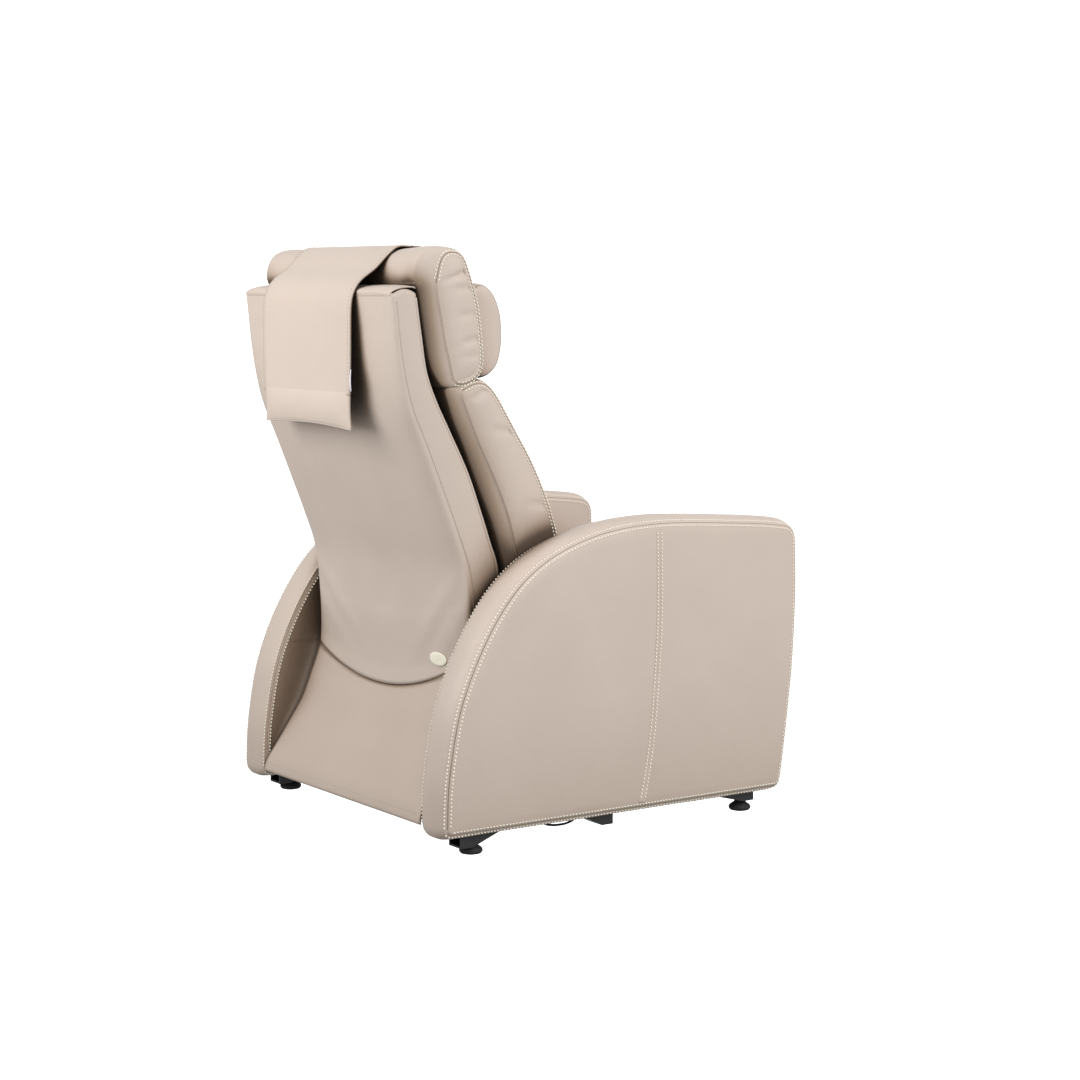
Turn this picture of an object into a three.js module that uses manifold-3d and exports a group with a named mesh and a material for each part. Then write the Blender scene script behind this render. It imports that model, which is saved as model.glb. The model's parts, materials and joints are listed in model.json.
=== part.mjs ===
// Massage recliner: padded arms on a steel base, a reclining back with a massage carriage inside,
// a tilting seat and a swinging leg rest. Millimetres, +Z up. The origin is on the floor, under the
// middle of the overall box. The chair faces -Y, so the sitter's left hand is at +X.
import * as THREE from "three";
import { mergeVertices } from "three/addons/utils/BufferGeometryUtils.js";
import Module from "manifold-3d";

const wasm = await Module();
wasm.setup();

// Clearances.
const GAP = 0.4; // between pieces that are fastened face to face
const RUNNING = 0.5; // around a shaft that turns in a hole

// Arms.
const ARM_INNER = 315;
const ARM_OUTER = 400;
const ARM_BOTTOM = 50;
const ARM_PANEL = 8; // thickness of the padded side panels
const ARM_BAND = 12; // thickness of the padded band over the top

// Backrest: it turns about a cross shaft and leans back from upright.
const PIVOT_Y = 165;
const PIVOT_Z = 300;
const BACK_LEAN = THREE.MathUtils.degToRad(21.2);
const CUSHION_HALF = 305;
const SHELL_HALF = 288;
const SHELL_WALL = 10;
const FRAME_REAR = -6; // depth of the back frame behind the pivot line, and in front of it
const FRAME_FRONT = -44;
const CHANNEL_HALF = 112; // channel in the back cushion that the rollers run in

// Massage carriage, in backrest coordinates: height along the back, depth behind the pivot line.
const CARRIAGE_AT = 345;
const CARRIAGE_DEPTH = -20;
const ROLLER_RADIUS = 22;
const ROLLER_SPREAD = 45;
const ROLLER_DEPTH = -105;
const ROLLER_PIVOT = -48;

// Shafts.
const SHAFT_RADIUS = 10;
const PIN_RADIUS = 5;

// Seat and leg rest.
const SEAT_HALF = 300;
const SEAT_TUBE_LOW = 318;
const SEAT_TUBE_HIGH = 343;
const LEG_PIVOT_Y = -440;
const LEG_PIVOT_Z = 362;
const LEG_HALF = 286;

// Actuators: the height of each rod, and where its slotted eye meets its pin.
const RECLINE_ROD_Z = 192;
const RECLINE_PIN = [199, 195.4];
const LEG_ROD_Z = 306;
const LEG_PIN = [-401.4, 316];
const TILT_ROD = [120, -175];
const TILT_PIN = [-180, 298];

// Headrest, pillow and the flap that balances it.
const PILLOW_HALF = 235;
const FLAP_HALF = 178;

// Feet.
const FOOT_X = 357;
const FOOT_Y = [-357, 307];
const BRACKET_X = [337, 380];

const LEATHER = { color: 0xcfbcab, roughness: 0.55, metalness: 0 };
const BLACK_STEEL = { color: 0x1b1b1d, roughness: 0.5, metalness: 0.6 };
const BRIGHT_STEEL = { color: 0xb9bcc0, roughness: 0.3, metalness: 1 };
const BLACK_PLASTIC = { color: 0x161616, roughness: 0.45, metalness: 0 };
const RUBBER = { color: 0x202020, roughness: 0.85, metalness: 0 };
const IVORY = { color: 0xf1ead2, roughness: 0.4, metalness: 0 };
const BOARD = { color: 0xa9825a, roughness: 0.8, metalness: 0 };

// ---- Shape helpers ----

function shapeOf(points) {
  return new THREE.Shape(points.map(([a, b]) => new THREE.Vector2(a, b)));
}

// Side profile of [y, z] points, made solid from x0 to x1.
function alongX(points, x0, x1) {
  const geometry = new THREE.ExtrudeGeometry(shapeOf(points), { depth: x1 - x0, bevelEnabled: false });
  const basis = new THREE.Matrix4().makeBasis(
    new THREE.Vector3(0, 1, 0),
    new THREE.Vector3(0, 0, 1),
    new THREE.Vector3(1, 0, 0),
  );
  return geometry.applyMatrix4(basis).translate(x0, 0, 0);
}

// Front outline of [x, z] points, made solid from y0 to y1.
function alongY(points, y0, y1) {
  const geometry = new THREE.ExtrudeGeometry(shapeOf(points), { depth: y1 - y0, bevelEnabled: false });
  const basis = new THREE.Matrix4().makeBasis(
    new THREE.Vector3(1, 0, 0),
    new THREE.Vector3(0, 0, 1),
    new THREE.Vector3(0, -1, 0),
  );
  return geometry.applyMatrix4(basis).translate(0, y1, 0);
}

function box(x, y, z) {
  const geometry = new THREE.BoxGeometry(x[1] - x[0], y[1] - y[0], z[1] - z[0]);
  return geometry.translate((x[0] + x[1]) / 2, (y[0] + y[1]) / 2, (z[0] + z[1]) / 2);
}

// Round bar from one point to another.
function bar(radius, from, to, sides = 16) {
  const start = new THREE.Vector3(...from);
  const run = new THREE.Vector3(...to).sub(start);
  const geometry = new THREE.CylinderGeometry(radius, radius, run.length(), sides);
  const turn = new THREE.Quaternion().setFromUnitVectors(
    new THREE.Vector3(0, 1, 0),
    run.clone().normalize(),
  );
  geometry.applyQuaternion(turn);
  return geometry.translate(...start.addScaledVector(run, 0.5).toArray());
}

// Turned shape about +Z from [radius, height] points that start and end on the axis.
function turned(points, sides = 18) {
  const profile = points.map(([r, h]) => new THREE.Vector2(r, h));
  return new THREE.LatheGeometry(profile, sides).rotateX(Math.PI / 2);
}

function pair(point) {
  return [point.x, point.y];
}

// Smooth line through [a, b] points.
function smooth(points, steps) {
  const curve = new THREE.SplineCurve(points.map(([a, b]) => new THREE.Vector2(a, b)));
  return curve.getPoints(steps).map(pair);
}

// Closed outline moved inwards by a distance; the points run clockwise.
function inset(points, distance) {
  const count = points.length;
  return points.map((point, i) => {
    const before = points[(i + count - 1) % count];
    const after = points[(i + 1) % count];
    const first = new THREE.Vector2(point[0] - before[0], point[1] - before[1]).normalize();
    const second = new THREE.Vector2(after[0] - point[0], after[1] - point[1]).normalize();
    const normal = new THREE.Vector2(first.y + second.y, -first.x - second.x).normalize();
    const reach = distance / Math.max(0.4, normal.dot(new THREE.Vector2(second.y, -second.x)));
    return [point[0] + normal.x * reach, point[1] + normal.y * reach];
  });
}

function solidOf(geometry) {
  const bare = geometry.clone();
  bare.deleteAttribute("normal");
  bare.deleteAttribute("uv");
  const merged = mergeVertices(bare, 1e-4);
  const vertProperties = new Float32Array(merged.attributes.position.array);
  const triVerts = new Uint32Array(merged.index.array);
  return new wasm.Manifold(new wasm.Mesh({ numProp: 3, vertProperties, triVerts }));
}

function geometryOf(solid) {
  const mesh = solid.getMesh();
  const geometry = new THREE.BufferGeometry();
  geometry.setAttribute("position", new THREE.BufferAttribute(mesh.vertProperties, 3));
  geometry.setIndex(new THREE.BufferAttribute(mesh.triVerts, 1));
  return geometry;
}

function joined(...geometries) {
  return geometryOf(geometries.map(solidOf).reduce((sum, solid) => sum.add(solid)));
}

function cut(geometry, ...tools) {
  return geometryOf(tools.map(solidOf).reduce((rest, tool) => rest.subtract(tool), solidOf(geometry)));
}

function mirrored(x) {
  return [-x[1], -x[0]];
}

const SIDES = [
  { side: "left", sign: 1 },
  { side: "right", sign: -1 },
];

// x range on one side of the chair from a range on its left side.
function onSide(sign, x) {
  return sign > 0 ? x : mirrored(x);
}

const chair = new THREE.Group();
const back = new THREE.Group();
back.position.set(0, PIVOT_Y, PIVOT_Z);
back.rotation.x = -BACK_LEAN;
chair.add(back);

function piece(name, geometry, finish, group = chair) {
  geometry.computeVertexNormals();
  const mesh = new THREE.Mesh(geometry, new THREE.MeshStandardMaterial(finish));
  mesh.name = name;
  group.add(mesh);
}

// ---- Arms ----

// Outline of an arm seen from the side, [y, z]: up the rear, over the top, down the front.
function armOutline() {
  const rearAndTop = smooth(
    [
      [390, ARM_BOTTOM],
      [383, 167],
      [351, 309],
      [276, 452],
      [183, 548],
      [50, 603],
      [-105, 620],
      [-306, 611],
      [-438, 592],
    ],
    26,
  );
  const front = smooth(
    [
      [-460, 570],
      [-465, 440],
      [-456, 281],
      [-433, 96],
      [-424, ARM_BOTTOM],
    ],
    8,
  );
  return [...front.reverse(), ...rearAndTop.reverse()];
}

function addArm({ side, sign }) {
  const outline = armOutline();
  const hollow = inset(outline, ARM_BAND);
  const core = inset(outline, ARM_BAND + GAP);
  const between = [ARM_INNER + ARM_PANEL + GAP, ARM_OUTER - ARM_PANEL - GAP];
  const open = [[-600, 0], [600, 0], [600, ARM_BOTTOM + ARM_BAND], [-600, ARM_BOTTOM + ARM_BAND]];
  const span = onSide(sign, between);
  const band = cut(
    alongX(outline, ...span),
    alongX(hollow, span[0] - 1, span[1] + 1),
    cut(alongX(open, span[0] - 1, span[1] + 1), alongX(rearFoot(), span[0] - 2, span[1] + 2),
      alongX(frontFoot(), span[0] - 2, span[1] + 2)),
  );
  piece(`arm_core_${side}`, alongX(core, ...span), BOARD);
  piece(`arm_band_${side}`, band, LEATHER);
  const outer = onSide(sign, [ARM_OUTER - ARM_PANEL, ARM_OUTER]);
  piece(`arm_outer_panel_${side}`, alongX(outline, ...outer), LEATHER);
  const inner = onSide(sign, [ARM_INNER, ARM_INNER + ARM_PANEL]);
  piece(`arm_inner_panel_${side}`, alongX(outline, ...inner), LEATHER);
}

// The band's two ends, which reach down to the arm's lower edge at the rear and the front.
function rearFoot() {
  return [[377, 0], [420, 0], [420, 90], [375, 90]];
}

function frontFoot() {
  return [[-480, 0], [-412, 0], [-414, 90], [-480, 90]];
}

SIDES.forEach(addArm);

// ---- Base frame ----

const RAIL_X = [292, ARM_INNER - GAP];
const RAIL_Z = [60, 100];
const REAR_END = 370;
const CROSS_Z = [60, 90];
const CROSS_X = [-RAIL_X[0] + GAP, RAIL_X[0] - GAP];

function addSideRail({ side, sign }) {
  const upright = [
    [110, 80],
    [220, 80],
    [PIVOT_Y + 20, PIVOT_Z + 12],
    [PIVOT_Y + 8, PIVOT_Z + 22],
    [PIVOT_Y - 8, PIVOT_Z + 22],
    [PIVOT_Y - 20, PIVOT_Z + 12],
  ];
  const x = onSide(sign, RAIL_X);
  const plate = onSide(sign, [RAIL_X[0], RAIL_X[0] + 14]);
  const rail = joined(box(x, [-395, REAR_END], RAIL_Z), alongX(upright, ...plate));
  const hole = bar(SHAFT_RADIUS + GAP, [x[0] - 2, PIVOT_Y, PIVOT_Z], [x[1] + 2, PIVOT_Y, PIVOT_Z]);
  piece(`base_side_rail_${side}`, cut(rail, hole), BLACK_STEEL);
}

SIDES.forEach(addSideRail);

// The front member carries the recline actuator between two upright plates.
function frontMember() {
  const plate = [[-365, 80], [-320, 80], [-324, 212], [-345, 212], [-365, 120]];
  return joined(
    box(CROSS_X, [-365, -335], CROSS_Z),
    alongX(plate, 22, 27),
    alongX(plate, -27, -22),
  );
}

piece("base_front_member", frontMember(), BLACK_STEEL);
piece("base_middle_member", box(CROSS_X, [-197, -153], CROSS_Z), BLACK_STEEL);
piece("base_rear_member", box(CROSS_X, [REAR_END - 30, REAR_END], CROSS_Z), BLACK_STEEL);

function reclineShaft() {
  return bar(SHAFT_RADIUS, [-ARM_INNER + 3, PIVOT_Y, PIVOT_Z], [ARM_INNER - 3, PIVOT_Y, PIVOT_Z]);
}

piece("recline_shaft", reclineShaft(), BRIGHT_STEEL);

// Folded bracket rail under each arm: a strip with three wedges, hollow from their deep ends.
const STRIP_TOP = ARM_BOTTOM - GAP;
const STRIP_LOW = STRIP_TOP - 3;

function wedge({ tip, deep, bottom }) {
  const away = Math.sign(deep - tip);
  const top = STRIP_LOW + 1;
  return [[tip, top], [tip, 42], [deep - away * 27, bottom], [deep, bottom], [deep, top]];
}

function wedgeHollow({ tip, deep, bottom }, wall) {
  const away = Math.sign(deep - tip);
  const floor = bottom + wall;
  return [
    [tip + away * 20, STRIP_LOW],
    [deep - away * 27, floor],
    [deep + away * 2, floor],
    [deep + away * 2, STRIP_LOW],
  ];
}

const WEDGES = [
  { tip: 251, deep: 344, bottom: 17 },
  { tip: 58, deep: -14, bottom: 20 },
  { tip: -275, deep: -375, bottom: 23 },
];

function addBracketRail({ side, sign }) {
  const x = onSide(sign, BRACKET_X);
  const wall = 4;
  const strip = box(x, [-375, 344], [STRIP_LOW, STRIP_TOP]);
  const wedges = WEDGES.map((size) => alongX(wedge(size), ...x));
  const hollows = WEDGES.map((size) => alongX(wedgeHollow(size, wall), x[0] + wall, x[1] - wall));
  const holes = FOOT_Y.map((y) => bar(PIN_RADIUS + RUNNING, [sign * FOOT_X, y, 5], [sign * FOOT_X, y, 60]));
  piece(`bracket_rail_${side}`, cut(joined(strip, ...wedges), ...hollows, ...holes), BLACK_STEEL);
}

SIDES.forEach(addBracketRail);

function addFoot({ side, sign }, y, place) {
  const foot = turned([
    [0, 0],
    [21, 0],
    [22.5, 3],
    [19, 7],
    [9, 10],
    [PIN_RADIUS, 13],
    [PIN_RADIUS, 48],
    [0, 48],
  ]);
  piece(`levelling_foot_${place}_${side}`, foot.translate(sign * FOOT_X, y, 0), RUBBER);
}

for (const arm of SIDES) {
  addFoot(arm, FOOT_Y[0], "front");
  addFoot(arm, FOOT_Y[1], "rear");
}

// Fixed skirt across the lower rear, flaring out to the hem.
function skirtProfile() {
  const outside = smooth([[289, 250], [311, 202], [344, 155], [386, 94], [398, 69], [398, 57]], 12);
  const thickness = 6;
  const inside = outside.map(([y, z]) => [y - thickness, z - (z > 90 ? 2 : 0)]).reverse();
  return [...outside, ...inside.map(([y, z]) => [y, Math.max(z, 57)])];
}

piece("rear_skirt", alongX(skirtProfile(), -298, 298), LEATHER);

piece("control_box", box([-250, -60], [230, REAR_END - 30 - GAP], [60, 122]), BLACK_PLASTIC);

function mainsInlet() {
  const top = 60 - GAP;
  return cut(box([-180, -130], [290, 322], [45, top]), box([-173, -137], [296, 316], [44, top - 5]));
}

piece("mains_inlet", mainsInlet(), BLACK_PLASTIC);

// Lead that sags under the right arm between two points where it goes up into the arm.
function actuatorLead() {
  const x = -366;
  const top = STRIP_LOW - GAP;
  const route = [
    [x, 66, top],
    [x, 66, 42.5],
    [x, 74, 36],
    [x, 88, 32],
    [x, 106, 31],
    [x, 124, 32.5],
    [x, 139, 36.5],
    [x, 147, 42.5],
    [x, 147, top],
  ].map((p) => new THREE.Vector3(...p));
  const radius = 2.5;
  const section = shapeOf(new THREE.EllipseCurve(0, 0, radius, radius).getPoints(8).slice(0, 8).map(pair));
  const extrudePath = new THREE.CatmullRomCurve3(route);
  return new THREE.ExtrudeGeometry(section, { steps: 22, extrudePath, bevelEnabled: false });
}

piece("actuator_lead", actuatorLead(), BLACK_PLASTIC);

// ---- Control panel in the right arm's inner face ----

const BUTTON_Y = [-226, -200, -174];
const BUTTON_NAMES = ["recline", "upright", "massage"];
const BUTTON_Z = 540;
const BUTTON_RADIUS = 7;
const PANEL_X = [-ARM_INNER + GAP, -ARM_INNER + GAP + 3];

function controlPanel() {
  const holes = BUTTON_Y.map((y) =>
    bar(BUTTON_RADIUS + 1, [PANEL_X[0] - 2, y, BUTTON_Z], [PANEL_X[1] + 2, y, BUTTON_Z]),
  );
  return cut(box(PANEL_X, [-246, -154], [520, 560]), ...holes);
}

piece("control_panel", controlPanel(), BLACK_PLASTIC);

BUTTON_NAMES.forEach((name, i) => {
  const button = bar(BUTTON_RADIUS, [-312.9, BUTTON_Y[i], BUTTON_Z], [-308.4, BUTTON_Y[i], BUTTON_Z]);
  piece(`button_${name}`, button, IVORY);
});

// ---- Seat ----

function seatSideTube(sign) {
  const x = onSide(sign, [262, 282]);
  const ear = [
    [90, SEAT_TUBE_LOW],
    [90, SEAT_TUBE_HIGH],
    [PIVOT_Y + 8, PIVOT_Z + 18],
    [PIVOT_Y + 20, PIVOT_Z],
    [PIVOT_Y, PIVOT_Z - 20],
  ];
  const tube = box(x, [-350, 100], [SEAT_TUBE_LOW, SEAT_TUBE_HIGH]);
  const hole = bar(SHAFT_RADIUS + RUNNING, [x[0] - 2, PIVOT_Y, PIVOT_Z], [x[1] + 2, PIVOT_Y, PIVOT_Z]);
  return cut(joined(tube, alongX(ear, ...x)), hole);
}

// Horns at the front corners of the seat frame, which the leg rest hangs on.
function seatHorn(sign) {
  const x = onSide(sign, [292, 300]);
  const horn = [
    [-350, SEAT_TUBE_LOW],
    [-365, SEAT_TUBE_LOW],
    [-452, 350],
    [-454, 368],
    [-442, 376],
    [-402, 354],
    [-350, SEAT_TUBE_HIGH - 2],
  ];
  const hole = bar(6 + RUNNING, [x[0] - 2, LEG_PIVOT_Y, LEG_PIVOT_Z], [x[1] + 2, LEG_PIVOT_Y, LEG_PIVOT_Z]);
  return cut(alongX(horn, ...x), hole);
}

function seatFrame() {
  const height = [SEAT_TUBE_LOW, SEAT_TUBE_HIGH];
  const lug = [[-194, 288], [-166, 288], [-166, 330], [-194, 330]];
  return joined(
    box([-300, 300], [-365, -345], height),
    box([-270, 270], [60, 85], height),
    seatSideTube(1),
    seatSideTube(-1),
    seatHorn(1),
    seatHorn(-1),
    box([TILT_ROD[0] - 16, 270], [-194, -166], height),
    alongX(lug, TILT_ROD[0] - 16, TILT_ROD[0] - 10),
    alongX(lug, TILT_ROD[0] + 10, TILT_ROD[0] + 16),
    bar(PIN_RADIUS, [TILT_ROD[0] - 14, ...TILT_PIN], [TILT_ROD[0] + 14, ...TILT_PIN]),
  );
}

piece("seat_frame", seatFrame(), BLACK_STEEL);

const DECK_Z = [SEAT_TUBE_HIGH + GAP, SEAT_TUBE_HIGH + 6];
piece("seat_deck", box([-287, 287], [-343, 15], DECK_Z), BOARD);

function seatCushion() {
  const low = DECK_Z[1] + GAP;
  const nose = smooth([[-400, 461], [-442, 452], [-458, 425], [-452, 396], [-430, 386]], 8);
  return alongX([[18, low], [18, 448], [6, 461], ...nose, [-386, 386], [-372, low]], -SEAT_HALF, SEAT_HALF);
}

piece("seat_cushion", seatCushion(), LEATHER);

// ---- Leg rest ----

const LEG_BOARD_Y = [-384.6, -374];
const LEG_NOTCH = { half: 22, low: 285 };

function legrestFrame() {
  const hanger = [
    [-451, 352],
    [-451, 366],
    [-443, 374],
    [-432, 374],
    [-374, 300],
    [-374, 150],
    [-384.6, 150],
    [-392, 300],
  ];
  const lug = [[-374, 240], [-374, 300], [-393, 326], [-410, 324], [-411, 306], [-384.6, 288], [-384.6, 240]];
  const notch = box([-LEG_NOTCH.half, LEG_NOTCH.half], [-400, -360], [LEG_NOTCH.low, 320]);
  const pieces = [cut(box([-291.3, 291.3], LEG_BOARD_Y, [120, 300]), notch)];
  for (const { sign } of SIDES) {
    const stub = onSide(sign, [288, 303]);
    pieces.push(alongX(hanger, ...onSide(sign, [LEG_HALF + 1.3, 291.3])));
    pieces.push(bar(6, [stub[0], LEG_PIVOT_Y, LEG_PIVOT_Z], [stub[1], LEG_PIVOT_Y, LEG_PIVOT_Z]));
    pieces.push(alongX(lug, ...onSide(sign, [13, 17])));
  }
  return joined(...pieces, bar(PIN_RADIUS, [-15, ...LEG_PIN], [15, ...LEG_PIN]));
}

piece("legrest_frame", legrestFrame(), BLACK_STEEL);

function legrestCushion() {
  const rear = LEG_BOARD_Y[0] - GAP;
  const outline = [
    [rear, 350],
    [-442, 350],
    [-452, 340],
    [-453, 240],
    [-450, 130],
    [-438, 112],
    [-400, 110],
    [rear, 120],
  ];
  const notch = box([-LEG_NOTCH.half, LEG_NOTCH.half], [-434, -360], [LEG_NOTCH.low, 400]);
  return cut(alongX(outline, -LEG_HALF, LEG_HALF), notch);
}

piece("legrest_cushion", legrestCushion(), LEATHER);

// ---- Backrest, in its own leaning coordinates: [depth, height] from the pivot ----

function backFrame() {
  const pieces = [];
  for (const { sign } of SIDES) {
    const x = onSide(sign, [232, 256]);
    const rail = joined(
      box(x, [FRAME_FRONT, FRAME_REAR], [10, 600]),
      bar(24, [x[0], 0, 0], [x[1], 0, 0], 24),
      alongX([[FRAME_FRONT, 10], [-22, -9], [20, 12], [FRAME_REAR, 60], [FRAME_FRONT, 60]], ...x),
    );
    pieces.push(cut(rail, bar(SHAFT_RADIUS + RUNNING, [x[0] - 2, 0, 0], [x[1] + 2, 0, 0])));
    pieces.push(bar(7, [sign * 130, CARRIAGE_DEPTH, 100], [sign * 130, CARRIAGE_DEPTH, 590]));
  }
  pieces.push(box([-240, 240], [FRAME_FRONT, FRAME_REAR], [96, 114]));
  pieces.push(box([-240, 240], [FRAME_FRONT, FRAME_REAR], [576, 600]));
  return joined(...pieces);
}

piece("back_frame", backFrame(), BLACK_STEEL, back);
piece("lead_screw", bar(6, [0, CARRIAGE_DEPTH, 114 + GAP], [0, CARRIAGE_DEPTH, 576 - GAP]), BRIGHT_STEEL, back);
piece("screw_motor", box([-30, 30], [FRAME_FRONT, 4], [38, 96 - GAP]), BLACK_PLASTIC, back);

// Torque tube around the shaft with two lever plates and the pin that the recline rod pushes.
function reclineLever() {
  const tube = cut(
    bar(17, [-232 + GAP, PIVOT_Y, PIVOT_Z], [232 - GAP, PIVOT_Y, PIVOT_Z]),
    bar(SHAFT_RADIUS + RUNNING, [-240, PIVOT_Y, PIVOT_Z], [240, PIVOT_Y, PIVOT_Z]),
  );
  const [pinY, pinZ] = RECLINE_PIN;
  const plate = [
    [PIVOT_Y - 14, PIVOT_Z - 13],
    [PIVOT_Y + 16, PIVOT_Z - 12],
    [pinY + 11, pinZ],
    [pinY + 2, pinZ - 11],
    [pinY - 11, pinZ - 3],
  ];
  return joined(
    tube,
    alongX(plate, 14, 20),
    alongX(plate, -20, -14),
    bar(PIN_RADIUS, [-17, pinY, pinZ], [17, pinY, pinZ]),
  );
}

piece("recline_lever", reclineLever(), BLACK_STEEL);

// Leaning [depth, height] point as [y, z] of the whole chair.
function leaning(depth, height) {
  const sin = Math.sin(BACK_LEAN);
  const cos = Math.cos(BACK_LEAN);
  return [PIVOT_Y + depth * cos + height * sin, PIVOT_Z - depth * sin + height * cos];
}

function backCushion() {
  const front = smooth(
    [
      [300, 887],
      [252, 896],
      [224, 883],
      [195, 836],
      [134, 726],
      [86, 627],
      leaning(-185, 100),
    ],
    18,
  );
  const body = alongX([...front, leaning(-50, 100), leaning(-50, 592)], -CUSHION_HALF, CUSHION_HALF);
  const channel = [leaning(-142, 118), leaning(-40, 118), leaning(-40, 572), leaning(-142, 572)];
  return cut(body, alongX(channel, -CHANNEL_HALF, CHANNEL_HALF));
}

piece("back_cushion", backCushion(), LEATHER);

function headrestCushion() {
  const front = smooth([[304, 892], [254, 909], [240, 940], [256, 1077], [278, 1132], [300, 1150]], 14);
  const rear = smooth([[352, 1150], [372, 1134], [378, 1090], [376, 1054], [364, 979], [342, 915], [328, 896]], 12);
  return alongX([...front, ...rear], -CUSHION_HALF, CUSHION_HALF);
}

piece("headrest_cushion", headrestCushion(), LEATHER);

// Two flat bars from the top of the back frame up behind the headrest, with a cross plate.
function headrestBracket() {
  const strip = [[357, 870.6], [366, 867.2], [376, 905], [400, 1045], [392, 1046.4], [368, 907]];
  const plate = [[388, 1022], [396, 1021], [400, 1045], [392, 1046.4]];
  return joined(alongX(strip, 100, 130), alongX(strip, -130, -100), alongX(plate, -120, 120));
}

piece("headrest_bracket", headrestBracket(), BLACK_STEEL);

// Rear face of the shell, [y, z] from the top down.
function shellRear() {
  return smooth(
    [
      [435, 1072],
      [420, 970],
      [404, 881],
      [345, 727],
      [273, 540],
      [262, 461],
      [264, 372],
      [272, 270],
    ],
    24,
  );
}

function rearShell() {
  const rear = shellRear();
  const outline = [
    ...rear,
    [258, 270],
    [215, 360],
    [190, 440],
    [214, 542],
    [268, 691],
    [345, 876],
    [369, 984],
    [383, 1063],
    [400, 1076],
    [426, 1081],
  ];
  const wall = rear.map(([y, z]) => [y - SHELL_WALL, z]);
  const pocket = [[wall[0][0], 1066], ...wall.slice(1), [wall.at(-1)[0], 200], [60, 200], [60, 700], [300, 1066]];
  const tray = cut(
    alongX(outline, -SHELL_HALF, SHELL_HALF),
    alongX(pocket, -SHELL_HALF + SHELL_WALL, SHELL_HALF - SHELL_WALL),
  );
  return cut(tray, alongY(belowSeam(), 100, 500));
}

// Everything below the curved lower seam, as [x, z].
function belowSeam() {
  const lowest = 280;
  const rise = 45;
  const steps = 12;
  const points = [];
  for (let i = 0; i <= steps; i += 1) {
    const x = -300 + (600 * i) / steps;
    points.push([x, lowest + rise * (x / 260) ** 2]);
  }
  return [...points, [300, 150], [-300, 150]];
}

piece("rear_shell", rearShell(), LEATHER);
piece("skirt_upper", box([-276, 276], [245, 251], [238, 345]), LEATHER);

// Blank oval badge low on the shell.
function badge() {
  const oval = new THREE.EllipseCurve(-200, 354, 29, 14).getPoints(24).slice(0, 24);
  return alongY(oval.map(pair), 267.4, 270.4);
}

piece("badge", badge(), IVORY);

// ---- Neck pillow, its strap over the headrest, and the weighted flap behind ----

function neckPillow() {
  const front = smooth([[249, 1076], [228, 1082], [176, 1062], [154, 1003], [166, 940], [206, 903], [232, 908]], 16);
  return alongX([...front, [236, 935]], -PILLOW_HALF, PILLOW_HALF);
}

piece("neck_pillow", neckPillow(), LEATHER);

function strapOver() {
  const thickness = 3.5;
  const under = [[288, 1151.5], [352, 1151.5], [376, 1136], [402, 1108], [434, 1086], [450, 1066], [453, 1045]];
  const over = under.map(([y, z], i) => (i < 2 ? [y, z + thickness] : [y + thickness, z + thickness]));
  over[over.length - 1] = [453 + thickness, 1045];
  return alongX([...under, ...over.reverse()], -FLAP_HALF, FLAP_HALF);
}

piece("strap_over", strapOver(), LEATHER);

function pillowFlap() {
  const pouch = [[459, 905], [464, 885], [465, 850], [463, 822], [456, 811], [450, 822], [449, 870], [453, 905]];
  return alongX([[453, 1040], [457, 1040], ...pouch], -FLAP_HALF, FLAP_HALF);
}

piece("pillow_flap", pillowFlap(), LEATHER);

// ---- Massage carriage ----

function carriage() {
  const [low, high] = [CARRIAGE_AT - 40, CARRIAGE_AT + 40];
  const block = cut(
    box([-148, 148], [CARRIAGE_DEPTH - 13, CARRIAGE_DEPTH + 13], [low, high]),
    bar(6 + RUNNING, [0, CARRIAGE_DEPTH, low - 5], [0, CARRIAGE_DEPTH, high + 5]),
    ...SIDES.map(({ sign }) =>
      bar(7 + RUNNING, [sign * 130, CARRIAGE_DEPTH, low - 5], [sign * 130, CARRIAGE_DEPTH, high + 5]),
    ),
  );
  const ear = [
    [-30, CARRIAGE_AT - 14],
    [ROLLER_PIVOT - 9, CARRIAGE_AT - 8],
    [ROLLER_PIVOT - 9, CARRIAGE_AT + 8],
    [-30, CARRIAGE_AT + 14],
  ];
  const motorAt = CARRIAGE_AT + 26;
  return joined(
    block,
    alongX(ear, 97, 104),
    alongX(ear, -104, -97),
    bar(PIN_RADIUS, [-100, ROLLER_PIVOT, CARRIAGE_AT], [100, ROLLER_PIVOT, CARRIAGE_AT]),
    bar(17, [-46, -50, motorAt], [46, -50, motorAt]),
    box([-30, 30], [-50, -30], [motorAt - 12, motorAt + 12]),
  );
}

piece("massage_carriage", carriage(), BLACK_PLASTIC, back);

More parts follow.
